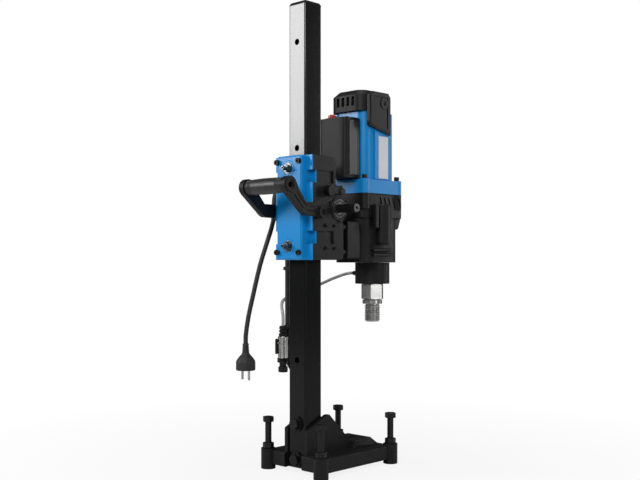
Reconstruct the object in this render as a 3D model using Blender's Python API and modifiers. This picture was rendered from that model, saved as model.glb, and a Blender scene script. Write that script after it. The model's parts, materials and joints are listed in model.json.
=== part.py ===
"""Core drill rig: a stand with a square column and rack, a carriage, and a wet core drill.

Built about the column: x to the right, y forward from the column to the drill, z up from the
floor. At the end the whole rig is moved so that its box stands on the origin.
"""

import math

import bmesh
import bpy
from mathutils import Matrix, Vector

# Clearances
GAP = 0.0003  # between pieces that touch or seat on each other
RUN = 0.0004  # between teeth that roll on each other

# Column
COLUMN_W = 0.044
FRONT = COLUMN_W / 2
COLUMN_WALL = 0.004
COLUMN_R = 0.0035
COLUMN_TOP = 0.878
INDEX_HOLE_R = 0.006
INDEX_HOLES_Z = (0.211, 0.410, 0.609, 0.808)
CAP_T = 0.006
CAP_PLUG = 0.016

# Rack and pinion
MODULE = 0.0030
PRESSURE = math.radians(25)
PINION_TEETH = 8
RACK_W = 0.016
RACK_BACK = 0.0038
RACK_FROM = 0.135
RACK_TEETH = 78
RACK_ADDENDUM = 0.0020
DEDENDUM = 0.0034
TOOTH_BURY = 0.0004

# Base
BASE_HALF_X = 0.076
BASE_REAR = -0.033
BASE_FRONT = 0.168
BASE_LOW = 0.009
BASE_TOP = 0.036
BASE_WALL = 0.007
FOOT_X = 0.070
FOOT_Y = (-0.030, 0.167)
FOOT_R = 0.014
FOOT_TOP = 0.039
WEB_T = 0.008
WEB_REAR = -0.025
WEB_REAR_TOP = 0.082
WEB_APEX = (0.027, 0.106)
WEB_TOE = 0.107
ANCHOR_Y = 0.130
ANCHOR_W = 0.014
ANCHOR_L = 0.034
DOME_TOP = 0.048

# Metric bolts
M12_R = 0.006
M12_HEX_R = 0.011
M12_HEAD = 0.010
LEVEL_HEAD_Z = 0.089
COLUMN_BOLTS_Z = (0.025, 0.092)
WASHER_R = 0.0145
WASHER_T = 0.0026
COLUMN_HEAD = 0.0075

# Carriage
CAR_LOW = 0.399
CAR_TOP = 0.593
CAR_HALF_X = FRONT + 0.026
CAR_FRONT = FRONT + 0.031
CAR_UPPER_FRONT = FRONT + 0.011
CAR_STEP_Z = 0.540
CAR_CORNER_R = 0.012
CAR_EAR_Y = -(FRONT + 0.0057)
BAND_IN = 0.003
BANDS = ((0.542, 0.565), (0.429, 0.453))
PLATE_HALF_X = FRONT + 0.011
PLATE_SCREW_X = PLATE_HALF_X - 0.0045
PLATE_REAR = -(FRONT + 0.022)
PLATE_EAR_T = 0.0028
PAD_T = 0.0026
SCREW_Z = (0.413, 0.5815)
STUD_Z = (0.4245, 0.569)
STUD_R = 0.004

# Carriage lock, and the bracket on the carriage's front
LOCK_AT = (0.010, 0.528)
LOCK_R = 0.005
BRACKET_HALF_X = 0.040
BRACKET_Z = (0.402, 0.474)
BRACKET_SCREWS_Z = (0.414, 0.462)
BRACKET_SCREW_X = 0.0325
BRACKET_HEAD_R = 0.0065
BRACKET_LEDGE = 0.010
M8_R = 0.004

# Pinion shaft
SHAFT_Z = 0.496
SHAFT_R = 0.0085
SHAFT_END = 0.093
PINION_W = 0.018
BEARING_R = 0.018
BEARING_T = 0.009
BOSS_R = 0.024

# Carry handle
ARM_X = (CAR_HALF_X + 0.0008, CAR_HALF_X + 0.0128)
ARM_BOLT = (-0.018, 0.487)
ARM_EYE_R = 0.0125
ARM_TOP_Z = 0.5045
ARM_LOW_Z = 0.480
ARM_RING_R = 0.0160
GRIP = (-0.098, 0.533)
GRIP_R = 0.0145

# Drill
SPINDLE_Y = 0.194
MOTOR_Y = 0.169
MOTOR_AXIS = (0.0, MOTOR_Y)
MOTOR_HALF = (0.045, 0.047)
MOTOR_R = 0.022
MOTOR_WALL = 0.0035
MOTOR_Z = (0.530, 0.692)
FLANGE_T = 0.027
FLANGE_SCREWS = ((0.044, 0.120), (0.044, 0.218))
CAP_Z = 0.734
CAP_Y = (0.1125, 0.2095)
COVER_Y = (0.1255, 0.1893)
COVER_Z = (0.6475, 0.7300)
GEARBOX_LOW = 0.394
GEARBOX_HALF_X = 0.048
GEARBOX_REAR = 0.112
GEARBOX_FRONT = 0.241
GEARBOX_WALL = 0.006
GEARBOX_WAIST = 0.483
COLLAR_R = 0.035
COLLAR_Z = (0.351, 0.391)
NIPPLE_Z = 0.372
SPINDLE_TIP = 0.274
THREAD_R = 0.015875
THREAD_PITCH = 0.0254 / 7
HEX_R = 0.0240
HEX_Z = (0.3200, 0.3500)
NUT_R = 0.0200
WATERWAY_R = 0.0085
BOX_HALF_X = 0.035
BOX_Y = (0.074, 0.1205)
BOX_Z = (0.5585, 0.676)

# Gears
SPINDLE_R = 0.014
GEAR_TEETH = 32
GEAR_MODULE = 0.0015
GEAR_ADD = 0.0012
GEAR_DED = 0.0017
GEAR_Z = (0.490, 0.504)
IDLER_TEETH = 11
IDLER_WHEEL = 22
IDLER_WHEEL_Z = (0.508, 0.518)
MOTOR_PINION = 9
ROTOR_R = 0.018
AIR_GAP = 0.0008
ROTOR_Z = (0.575, 0.640)
THREADS = 8

# Water fitting and mains lead
VALVE_AT = (-0.099, 0.037)
VALVE_Z = (0.176, 0.268)
VALVE_TURN = math.radians(-45)
VALVE_R = 0.0105
VALVE_SIDES = 12
CORD_R = 0.0045
HOSE_R = 0.0032
HANK_X = (-0.110, -0.090)
HANK_Y = (0.051, 0.133)
HANK_Z = (0.166, 0.512)
HANK_FLAT = 0.004
HANK_WALL = 0.0185
LEAD_EXIT = (-BOX_HALF_X, 0.100, 0.600)
RELIEF = 0.020
PLUG_AT = (-0.124, -0.040)
PLUG_TOP = 0.236
CORDS = (
    "mains_lead",
    "lead_hank",
    "lead_tail",
    "mains_plug",
    "water_hose",
    "valve_body",
    "valve_lever",
)

PITCH_Y = FRONT + GAP + RACK_BACK + DEDENDUM
PINION_PITCH_R = MODULE * PINION_TEETH / 2
PINION_Y = PITCH_Y + PINION_PITCH_R
RACK_STEP = math.pi * MODULE

COLOURS = {
    "black_casting": ((0.030, 0.031, 0.033), 0.55, 0.0),
    "column_black": ((0.035, 0.036, 0.038), 0.30, 0.6),
    "blue_paint": ((0.010, 0.190, 0.600), 0.30, 0.0),
    "black_plastic": ((0.022, 0.022, 0.024), 0.50, 0.0),
    "black_steel": ((0.040, 0.041, 0.043), 0.35, 0.9),
    "bright_steel": ((0.620, 0.620, 0.610), 0.25, 1.0),
    "copper": ((0.600, 0.270, 0.120), 0.35, 1.0),
    "rubber": ((0.015, 0.015, 0.016), 0.65, 0.0),
    "bronze": ((0.550, 0.400, 0.180), 0.40, 1.0),
    "red_plastic": ((0.600, 0.020, 0.015), 0.35, 0.0),
    "clear_hose": ((0.800, 0.820, 0.800), 0.15, 0.0),
}


def clear_scene():
    for obj in list(bpy.data.objects):
        bpy.data.objects.remove(obj, do_unlink=True)


def collection(name):
    made = bpy.data.collections.new(name)
    bpy.context.scene.collection.children.link(made)
    return made


def material(name):
    found = bpy.data.materials.get(name)
    if found:
        return found
    colour, rough, metal = COLOURS[name]
    made = bpy.data.materials.new(name)
    made.use_nodes = True
    shader = made.node_tree.nodes["Principled BSDF"]
    shader.inputs["Base Color"].default_value = (*colour, 1.0)
    shader.inputs["Roughness"].default_value = rough
    shader.inputs["Metallic"].default_value = metal
    return made


TURNS = {
    "Z": (0.0, 0.0, 0.0),
    "X": (math.pi / 2, 0.0, math.pi / 2),
    "Y": (math.pi / 2, 0.0, 0.0),
}


class Shop:
    """Makes solids. A finished piece goes in the rig's collection and a tool in the cutters'."""

    def __init__(self):
        self.parts = collection("core_drill_rig")
        self.tools = collection("cutters")
        self.root = bpy.data.objects.new("rig_origin", None)
        self.parts.objects.link(self.root)

    def place(self, name, mesh, at=(0, 0, 0), axis="Z"):
        obj = bpy.data.objects.new(name, mesh)
        obj.location = at
        obj.rotation_euler = TURNS[axis]
        self.tools.objects.link(obj)
        obj.hide_render = True
        obj.display_type = "WIRE"
        obj.parent = self.root
        return obj

    def finish(self, obj, name, look, smooth=False):
        """Turns a tool into a piece of the rig."""
        obj.name = name
        self.tools.objects.unlink(obj)
        self.parts.objects.link(obj)
        obj.hide_render = False
        obj.display_type = "TEXTURED"
        obj.data.materials.clear()
        obj.data.materials.append(material(look))
        if smooth:
            obj.data.shade_smooth()
            obj.data.set_sharp_from_angle(angle=math.radians(35))
        return obj

    def box(self, low, high, name="block", bevel=0.0):
        """A block between two corners, its origin at its middle."""
        low, high = Vector(low), Vector(high)
        bm = bmesh.new()
        bmesh.ops.create_cube(bm, size=1.0)
        for vert in bm.verts:
            vert.co = Vector([c * s for c, s in zip(vert.co, high - low)])
        if bevel:
            bmesh.ops.bevel(bm, geom=bm.edges[:], offset=bevel, segments=1, affect="EDGES")
        mesh = bpy.data.meshes.new(name)
        bm.to_mesh(mesh)
        bm.free()
        return self.place(name, mesh, (low + high) / 2)

    def taper(self, low, high, inset, name="taper"):
        """A block whose top is smaller all round by inset."""
        obj = self.box(low, high, name)
        half = (Vector(high) - Vector(low)) / 2
        for vert in obj.data.vertices:
            if vert.co.z > 0:
                vert.co.x *= (half.x - inset) / half.x
                vert.co.y *= (half.y - inset) / half.y
        return obj

    def rod(self, radius, start, end, at, axis="Z", sides=24, name="rod", top=None, turn=0.0):
        """A cylinder, prism or cone along an axis, from start to end on it."""
        bm = bmesh.new()
        bmesh.ops.create_cone(
            bm,
            cap_ends=True,
            segments=sides,
            radius1=radius,
            radius2=radius if top is None else top,
            depth=end - start,
        )
        if turn:
            bmesh.ops.rotate(bm, verts=bm.verts, matrix=Matrix.Rotation(turn, 3, "Z"))
        mesh = bpy.data.meshes.new(name)
        bm.to_mesh(mesh)
        bm.free()
        middle = (start + end) / 2
        # Along Y the mesh's own z points backward, so a cone is turned over.
        if axis == "Y":
            for vert in mesh.vertices:
                vert.co.z = -vert.co.z
            mesh.flip_normals()
        where = {
            "Z": (at[0], at[1], middle),
            "X": (middle, at[0], at[1]),
            "Y": (at[0], middle, at[1]),
        }[axis]
        return self.place(name, mesh, where, axis)

    def flat(self, outlines, start, end, axis="Z", name="flat"):
        """Outlines in the plane across an axis, made solid from start to end on it.

        Across Z an outline is (x, y), across X it is (y, z), and across Y it is (x, z).
        """
        curve = bpy.data.curves.new(name, "CURVE")
        curve.dimensions = "2D"
        curve.fill_mode = "BOTH"
        curve.extrude = (end - start) / 2
        for outline in outlines:
            spline = curve.splines.new("POLY")
            spline.points.add(len(outline) - 1)
            for point, (u, v) in zip(spline.points, outline):
                point.co = (u, v, 0.0, 1.0)
            spline.use_cyclic_u = True
        middle = (start + end) / 2
        where = {"Z": (0, 0, middle), "X": (middle, 0, 0), "Y": (0, middle, 0)}[axis]
        drawn = bpy.data.objects.new(name, curve)
        self.tools.objects.link(drawn)
        mesh = welded(drawn)
        bpy.data.objects.remove(drawn)
        return self.place(name, mesh, where, axis)

    def turned(self, profile, at=(0, 0, 0), axis="Z", steps=24, name="turned"):
        """A profile of (radius, height) points, top to bottom on its outer side, turned round."""
        bm = bmesh.new()
        verts = [bm.verts.new((r, 0.0, h)) for r, h in profile]
        for a, b in zip(verts, verts[1:]):
            bm.edges.new((a, b))
        if min(r for r, _ in profile) > 0:
            bm.edges.new((verts[-1], verts[0]))
        mesh = bpy.data.meshes.new(name)
        bm.to_mesh(mesh)
        bm.free()
        obj = self.place(name, mesh, at, axis)
        screw = obj.modifiers.new("turn", "SCREW")
        screw.steps = steps
        screw.render_steps = steps
        screw.use_merge_vertices = True
        screw.merge_threshold = 0.00001
        return obj

    def tube(self, points, radius, name, resolution=2):
        """A round tube along a list of points, its ends closed."""
        curve = bpy.data.curves.new(name, "CURVE")
        curve.dimensions = "3D"
        curve.bevel_depth = radius
        curve.bevel_resolution = resolution
        curve.use_fill_caps = True
        spline = curve.splines.new("POLY")
        spline.points.add(len(points) - 1)
        for point, at in zip(spline.points, points):
            point.co = (*at, 1.0)
        drawn = bpy.data.objects.new(name, curve)
        self.tools.objects.link(drawn)
        mesh = welded(drawn)
        bpy.data.objects.remove(drawn)
        return self.place(name, mesh)

    def boolean(self, obj, tools, operation):
        for tool in tools:
            step = obj.modifiers.new(operation.lower(), "BOOLEAN")
            step.operation = operation
            step.solver = "EXACT"
            step.object = tool
        return obj

    def join(self, obj, *tools):
        return self.boolean(obj, tools, "UNION")

    def cut(self, obj, *tools):
        return self.boolean(obj, tools, "DIFFERENCE")


def welded(drawn):
    """The mesh of a curve object, its caps joined to its sides."""
    bpy.context.view_layer.update()
    graph = bpy.context.evaluated_depsgraph_get()
    mesh = bpy.data.meshes.new_from_object(drawn.evaluated_get(graph))
    bm = bmesh.new()
    bm.from_mesh(mesh)
    bmesh.ops.remove_doubles(bm, verts=bm.verts, dist=0.00001)
    bmesh.ops.recalc_face_normals(bm, faces=bm.faces)
    bm.to_mesh(mesh)
    bm.free()
    return mesh


def arc(centre, radius, start, end, count):
    """Points round a centre, from one angle to another in degrees."""
    angles = [math.radians(start + (end - start) * i / count) for i in range(count + 1)]
    return [(centre[0] + radius * math.cos(a), centre[1] + radius * math.sin(a)) for a in angles]


def rounded(low, high, radius, count=3):
    """A rectangle with round corners, anticlockwise."""
    (x0, y0), (x1, y1) = low, high
    corners = (
        ((x1 - radius, y0 + radius), -90),
        ((x1 - radius, y1 - radius), 0),
        ((x0 + radius, y1 - radius), 90),
        ((x0 + radius, y0 + radius), 180),
    )
    return [p for centre, at in corners for p in arc(centre, radius, at, at + 90, count)]


def slot(centre, width, length):
    """A slot that runs along y, with round ends."""
    x, y = centre
    half = (length - width) / 2
    return arc((x, y + half), width / 2, 0, 180, 8) + arc((x, y - half), width / 2, 180, 360, 8)


def smooth_route(points, spacing):
    """Points along a Catmull-Rom curve through a cord's own points, about spacing apart."""
    ends = [points[0], *points, points[-1]]
    ends = [Vector(p) for p in ends]
    out = []
    for a, b, c, d in zip(ends, ends[1:], ends[2:], ends[3:]):
        count = max(1, round((c - b).length / spacing))
        for i in range(count):
            t = i / count
            out.append(
                0.5
                * (
                    2 * b
                    + (c - a) * t
                    + (2 * a - 5 * b + 4 * c - d) * t**2
                    + (3 * b - a - 3 * c + d) * t**3
                )
            )
    return [*out, ends[-1]]


def involute(angle):
    return math.tan(angle) - angle


def gear_outline(teeth, module, addendum, dedendum, play, phase=0.0):
    """An involute gear's outline about (0, 0), with a tooth pointing at the phase angle."""
    pitch = module * teeth / 2
    base = pitch * math.cos(PRESSURE)
    root, tip = pitch - dedendum, pitch + addendum
    half = math.pi / (2 * teeth) - play / (2 * pitch) + involute(PRESSURE)
    flank = []
    start = max(base, root)
    for i in range(3):
        r = start + (tip - start) * i / 2
        flank.append((r, half - involute(math.acos(base / r))))
    if root < base:
        flank.insert(0, (root, half))
    points = []
    for tooth in range(teeth):
        middle = phase + 2 * math.pi * tooth / teeth
        points += [(r * math.cos(middle - a), r * math.sin(middle - a)) for r, a in flank]
        points += [(r * math.cos(middle + a), r * math.sin(middle + a)) for r, a in flank[::-1]]
    return points


def hex_bolt(shop, radius, hex_r, head, shank, at, axis, under, way, turn=0.0):
    """A hex bolt. under is where its head seats, and way is which way the shank runs."""
    body = shop.rod(
        hex_r, *sorted((under, under - way * head)), at, axis, sides=6, name="head", turn=turn
    )
    tip = under + way * shank
    return shop.join(body, shop.rod(radius, *sorted((under - way * 0.001, tip)), at, axis, sides=16))


def socket_screw(shop, radius, head_r, head, shank, at, axis, under, way, sides=14):
    """A cap screw with a hexagon socket in its head."""
    face = under - way * head
    body = shop.rod(head_r, *sorted((under, face)), at, axis, sides=sides, name="head")
    tip = under + way * shank
    shop.join(body, shop.rod(radius, *sorted((under - way * 0.001, tip)), at, axis, sides=10))
    drive = sorted((face - way * 0.001, face + way * head * 0.55))
    return shop.cut(body, shop.rod(head_r * 0.52, *drive, at, axis, sides=6))


def ring(shop, inner, outer, start, end, at, axis="Z", sides=24, outer_sides=24):
    body = shop.rod(outer, start, end, at, axis, sides=outer_sides)
    return shop.cut(body, shop.rod(inner, start - 0.001, end + 0.001, at, axis, sides=sides))


# ---------------------------------------------------------------- stand


def base_casting(shop):
    half = FRONT + GAP
    corner = (BASE_HALF_X, BASE_FRONT, BASE_TOP)
    body = shop.box((-BASE_HALF_X, BASE_REAR, BASE_LOW), corner, bevel=0.002)
    dome_low = (-0.042, ANCHOR_Y - 0.042, BASE_TOP - 0.002)
    dome_high = (0.042, BASE_FRONT - 0.003, DOME_TOP)
    shop.join(body, shop.taper(dome_low, dome_high, 0.012))
    inner = BASE_HALF_X - BASE_WALL
    under = (BASE_REAR + BASE_WALL, BASE_FRONT - BASE_WALL)
    shop.cut(body, shop.box((-inner, under[0], 0), (inner, under[1], BASE_TOP - BASE_WALL)))
    bosses = [(side * FOOT_X, y) for y in FOOT_Y for side in (-1, 1)]
    for at in bosses:
        shop.join(body, shop.rod(FOOT_R, 0, FOOT_TOP, at, sides=20))
    profile = [
        (WEB_REAR, BASE_LOW),
        (WEB_TOE, BASE_LOW),
        (WEB_TOE, BASE_TOP),
        (WEB_APEX[0] + 0.008, WEB_APEX[1]),
        WEB_APEX,
        (WEB_REAR, WEB_REAR_TOP),
    ]
    for side in (-1, 1):
        span = sorted((side * half, side * (half + WEB_T)))
        shop.join(body, shop.flat([profile], *span, axis="X"))
    wall_top = WEB_APEX[1] - 0.006
    wall_high = (half + 0.001, half + 0.012, wall_top)
    shop.join(body, shop.box((-half - 0.001, half, BASE_LOW), wall_high))
    shop.cut(body, shop.box((-half, BASE_REAR - 0.01, -0.01), (half, half, 0.2)))
    for at in bosses:
        shop.cut(body, shop.rod(M12_R + GAP, -0.01, 0.06, at, sides=16))
    for z in COLUMN_BOLTS_Z:
        shop.cut(body, shop.rod(M12_R + GAP, half - 0.01, half + 0.03, (0, z), "Y", sides=16))
    shop.cut(body, shop.flat([slot((0, ANCHOR_Y), ANCHOR_W, ANCHOR_L)], 0.0, 0.1))
    return shop.finish(body, "base_casting", "black_casting")


def column_tube(shop):
    inner = FRONT - COLUMN_WALL
    outlines = [
        rounded((-FRONT, -FRONT), (FRONT, FRONT), COLUMN_R),
        rounded((-inner, -inner), (inner, inner), COLUMN_R / 2, 1),
    ]
    body = shop.flat(outlines, BASE_LOW + GAP, COLUMN_TOP)
    for z in INDEX_HOLES_Z:
        hole = shop.rod(INDEX_HOLE_R, -FRONT - 0.005, -inner + 0.002, (0, z), "Y", sides=16)
        shop.cut(body, hole)
    for z in COLUMN_BOLTS_Z:
        shop.cut(body, shop.rod(M12_R + GAP, -FRONT - 0.005, FRONT + 0.005, (0, z), "Y", sides=16))
    return shop.finish(body, "column_tube", "column_black")


def column_cap(shop):
    low = COLUMN_TOP + GAP
    plug = FRONT - COLUMN_WALL - GAP
    body = shop.taper((-FRONT, -FRONT, low), (FRONT, FRONT, low + CAP_T), 0.003)
    outline = rounded((-plug, -plug), (plug, plug), COLUMN_R / 2, 1)
    shop.join(body, shop.flat([outline], low - CAP_PLUG, low + 0.002))
    shop.finish(body, "column_cap", "black_plastic")


def rack(shop):
    """A rack up the column's front. A gap between teeth lies level with the pinion."""
    back, root = FRONT + GAP, PITCH_Y - DEDENDUM
    slope = math.tan(PRESSURE)
    low = SHAFT_Z - RACK_STEP * round((SHAFT_Z - RACK_FROM) / RACK_STEP)
    high = low + RACK_STEP * RACK_TEETH
    body = shop.box((-RACK_W / 2, back, low), (RACK_W / 2, root, high))
    middle = low + RACK_STEP / 2
    foot = RACK_STEP / 4 + slope * (DEDENDUM + TOOTH_BURY) - RUN / 2
    tip = RACK_STEP / 4 - slope * RACK_ADDENDUM - RUN / 2
    outline = [
        (root - TOOTH_BURY, middle - foot),
        (PITCH_Y + RACK_ADDENDUM, middle - tip),
        (PITCH_Y + RACK_ADDENDUM, middle + tip),
        (root - TOOTH_BURY, middle + foot),
    ]
    teeth = shop.flat([outline], -RACK_W / 2, RACK_W / 2, axis="X", name="rack_tooth")
    row = teeth.modifiers.new("row", "ARRAY")
    row.count = RACK_TEETH
    row.use_relative_offset = False
    row.use_constant_offset = True
    row.constant_offset_displace = (0.0, RACK_STEP, 0.0)
    shop.join(body, teeth)
    shop.finish(body, "rack", "black_steel")


def column_bolts(shop):
    """Two bolts, each with its washer, that hold the column's foot in the base."""
    seat = -FRONT - GAP
    for name, z in zip(("lower", "upper"), COLUMN_BOLTS_Z):
        under = seat - WASHER_T
        shank = FRONT + 0.034
        bolt = hex_bolt(shop, M12_R, M12_HEX_R, COLUMN_HEAD, shank, (0, z), "Y", under, 1, turn=0.3)
        shop.join(bolt, shop.rod(WASHER_R, under - 0.0005, seat, (0, z), "Y", sides=20))
        shop.finish(bolt, f"column_bolt_{name}", "black_steel")


def levelling_bolts(shop):
    """A bolt through each foot, with the nut that locks it."""
    low = FOOT_TOP + GAP
    shank = LEVEL_HEAD_Z - 0.001
    for end, y in zip(("rear", "front"), FOOT_Y):
        for side, hand in ((-1, "left"), (1, "right")):
            at = (side * FOOT_X, y)
            bolt = hex_bolt(shop, M12_R, M12_HEX_R, M12_HEAD, shank, at, "Z", LEVEL_HEAD_Z, -1)
            shop.finish(bolt, f"levelling_bolt_{end}_{hand}", "black_steel")
            body = shop.rod(M12_HEX_R, low, low + M12_HEAD, at, sides=6, turn=0.25)
            nut = shop.cut(body, shop.rod(M12_R + GAP, low - 0.01, low + 0.02, at, sides=16))
            shop.finish(nut, f"lock_nut_{end}_{hand}", "black_steel")


# ---------------------------------------------------------------- carriage


def ear_bands():
    """The carriage's height as (low, high, proud) bands, from the bottom up."""
    edges = [CAR_LOW, *sorted(z for band in BANDS for z in band), CAR_TOP]
    return [(a, b, i % 2 == 0) for i, (a, b) in enumerate(zip(edges, edges[1:]))]


def carriage_casting(shop):
    ear = CAR_EAR_Y
    deep = ear + 0.010
    body = shop.box((-CAR_HALF_X, ear, CAR_LOW), (CAR_HALF_X, CAR_FRONT, CAR_STEP_Z), bevel=0.002)
    turn = (CAR_UPPER_FRONT - CAR_CORNER_R, CAR_TOP - CAR_CORNER_R)
    upper = [(ear, CAR_STEP_Z - 0.006), (CAR_UPPER_FRONT, CAR_STEP_Z - 0.006)]
    upper += arc(turn, CAR_CORNER_R, 0, 90, 4)
    upper.append((ear, CAR_TOP))
    shop.join(body, shop.flat([upper], -CAR_HALF_X, CAR_HALF_X, axis="X"))
    shop.join(body, shop.rod(BOSS_R, -CAR_HALF_X, CAR_HALF_X, (PINION_Y, SHAFT_Z), "X", sides=20))
    for low, high in BANDS:
        for side in (-1, 1):
            span = sorted((side * (CAR_HALF_X - BAND_IN), side * 0.06))
            shop.cut(body, shop.box((span[0], -0.06, low), (span[1], 0.027, high)))
        shop.cut(body, shop.box((-0.06, -0.06, low), (0.06, deep, high)))
    reach = FRONT + GAP + PAD_T + GAP
    wide = PLATE_HALF_X + GAP
    shop.cut(body, shop.box((-wide, -0.06, CAR_LOW - 0.01), (wide, deep, CAR_TOP + 0.01)))
    shop.cut(body, shop.box((-reach, -0.07, CAR_LOW - 0.02), (reach, reach, CAR_TOP + 0.02)))
    rack_room = RACK_W / 2 + 0.003
    tips = PITCH_Y + RACK_ADDENDUM + 0.0015
    shop.cut(body, shop.box((-rack_room, 0, CAR_LOW - 0.03), (rack_room, tips, CAR_TOP + 0.03)))
    centre = (PINION_Y, SHAFT_Z)
    pocket = PINION_PITCH_R + MODULE + 0.002
    shop.cut(body, shop.rod(pocket, -PINION_W / 2 - 0.002, PINION_W / 2 + 0.002, centre, "X", sides=16))
    shop.cut(body, shop.rod(SHAFT_R + GAP, -0.07, 0.07, centre, "X", sides=16))
    for side in (-1, 1):
        seat = sorted((side * (CAR_HALF_X - BEARING_T + 0.002 - GAP), side * 0.06))
        shop.cut(body, shop.rod(BEARING_R, *seat, centre, "X", sides=20))
        pivot = sorted((side * (CAR_HALF_X - 0.018), side * 0.06))
        shop.cut(body, shop.rod(0.005 + GAP, *pivot, ARM_BOLT, "X", sides=10))
        for z in SCREW_Z:
            at = (side * PLATE_SCREW_X, z)
            shop.cut(body, shop.rod(0.003 + GAP, deep - 0.001, 0.0, at, "Y", sides=10))
    shop.cut(body, shop.rod(LOCK_R + GAP, reach - 0.001, 0.07, LOCK_AT, "X", sides=16))
    for z in BRACKET_SCREWS_Z:
        for side in (-1, 1):
            at = (side * BRACKET_SCREW_X, z)
            shop.cut(body, shop.rod(M8_R + GAP, 0.030, 0.07, at, "Y", sides=10))
    return shop.finish(body, "carriage_casting", "black_casting")


def rear_plate(shop):
    """The blue plate that closes the carriage behind the column, with ears onto the casting."""
    seat = -FRONT - GAP - PAD_T - GAP
    low, high = CAR_LOW, CAR_TOP
    body = shop.box((-PLATE_HALF_X, PLATE_REAR, low), (PLATE_HALF_X, seat, high), bevel=0.003)
    for side in (-1, 1):
        wall = sorted((side * (FRONT + 0.006), side * PLATE_HALF_X))
        shop.join(body, shop.box((wall[0], seat - 0.006, low), (wall[1], CAR_EAR_Y + 0.010 - GAP, high)))
    for z0, z1, proud in ear_bands():
        y1 = CAR_EAR_Y - GAP + (0 if proud else 0.010)
        x = CAR_HALF_X - (0 if proud else BAND_IN - 0.002)
        for side in (-1, 1):
            span = sorted((side * (PLATE_HALF_X - 0.002), side * x))
            gap = 0.0 if proud else GAP
            shop.join(body, shop.box((span[0], y1 - PLATE_EAR_T, z0 + gap), (span[1], y1, z1 - gap)))
    for side in (-1, 1):
        for z in SCREW_Z:
            at = (side * PLATE_SCREW_X, z)
            shop.cut(body, shop.rod(0.003 + GAP, PLATE_REAR - 0.01, 0.0, at, "Y", sides=10))
    for z in STUD_Z:
        shop.cut(body, shop.rod(STUD_R + GAP, PLATE_REAR - 0.01, 0.0, (0, z), "Y", sides=10))
    return shop.finish(body, "rear_plate", "blue_paint")


def plate_screws(shop):
    for side, hand in ((-1, "left"), (1, "right")):
        for level, z in zip(("lower", "upper"), SCREW_Z):
            at = (side * PLATE_SCREW_X, z)
            screw = socket_screw(shop, 0.003, 0.0052, 0.006, 0.036, at, "Y", PLATE_REAR - GAP, 1)
            shop.finish(screw, f"plate_screw_{level}_{hand}", "black_steel")


def gib_parts(shop):
    """Two studs press a flat gib on the column's back; pads guide its sides."""
    face = FRONT + GAP
    pad_low, pad_high = CAR_LOW + 0.004, CAR_TOP - 0.004
    gib = shop.box((-0.016, -face - PAD_T, pad_low), (0.016, -face, pad_high))
    shop.finish(gib, "gib_plate", "bronze")
    for side, hand in ((-1, "left"), (1, "right")):
        span = sorted((side * face, side * (face + PAD_T)))
        pad = shop.box((span[0], -0.014, pad_low), (span[1], 0.014, pad_high))
        shop.finish(pad, f"slide_pad_{hand}", "bronze")
    tip = -face - PAD_T - GAP
    for level, z in zip(("lower", "upper"), STUD_Z):
        stud = shop.rod(STUD_R, PLATE_REAR - 0.017, tip, (0, z), "Y", sides=14)
        shop.cut(stud, shop.rod(0.0022, PLATE_REAR - 0.02, PLATE_REAR - 0.012, (0, z), "Y", sides=6))
        seat = PLATE_REAR - GAP
        shop.join(stud, shop.rod(0.0075, seat - 0.009, seat, (0, z), "Y", sides=6))
        shop.join(stud, shop.rod(0.0105, seat - 0.002, seat, (0, z), "Y", sides=20))
        shop.finish(stud, f"gib_stud_{level}", "bright_steel")


def pinion_shaft(shop):
    centre = (PINION_Y, SHAFT_Z)
    body = shop.rod(SHAFT_R, -CAR_HALF_X - 0.004, SHAFT_END, centre, "X", sides=16)
    outline = gear_outline(PINION_TEETH, MODULE, MODULE, DEDENDUM, RUN, phase=math.pi)
    teeth = [(PINION_Y + u, SHAFT_Z + v) for u, v in outline]
    shop.join(body, shop.flat([teeth], -PINION_W / 2, PINION_W / 2, axis="X"))
    shop.cut(body, shop.rod(0.0022, SHAFT_END - 0.006, SHAFT_END + 0.01, centre, "X", sides=10))
    shop.finish(body, "pinion_shaft", "black_steel", smooth=True)
    for side, hand in ((-1, "left"), (1, "right")):
        span = sorted((side * (CAR_HALF_X - BEARING_T + 0.002), side * (CAR_HALF_X + 0.002)))
        bearing = ring(shop, SHAFT_R + GAP, BEARING_R - GAP, *span, centre, "X", sides=16, outer_sides=20)
        groove = sorted((side * (CAR_HALF_X + 0.001), side * (CAR_HALF_X + 0.01)))
        race = shop.rod(0.0152, *groove, centre, "X", sides=20)
        shop.cut(race, shop.rod(0.0125, -0.1, 0.1, centre, "X", sides=20))
        shop.cut(bearing, race)
        shop.finish(bearing, f"pinion_bearing_{hand}", "bright_steel")


def lock_lever(shop):
    """The screw that clamps the carriage, with its short lever."""
    y, z = LOCK_AT
    face = CAR_HALF_X + GAP
    knob = (y + 0.030, z)
    body = shop.rod(LOCK_R, FRONT + GAP + PAD_T + 0.001, face + 0.004, LOCK_AT, "X", sides=16)
    shop.join(body, shop.rod(2 * LOCK_R, face, face + 0.012, LOCK_AT, "X", sides=20))
    arm = [(y, z - 0.005), (knob[0], z - 0.006), (knob[0], z + 0.006), (y, z + 0.005)]
    shop.join(body, shop.flat([arm], face + 0.003, face + 0.010, axis="X"))
    shop.join(body, shop.rod(0.007, face + 0.002, face + 0.012, knob, "X", sides=16))
    shop.finish(body, "carriage_lock_lever", "black_steel")


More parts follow.
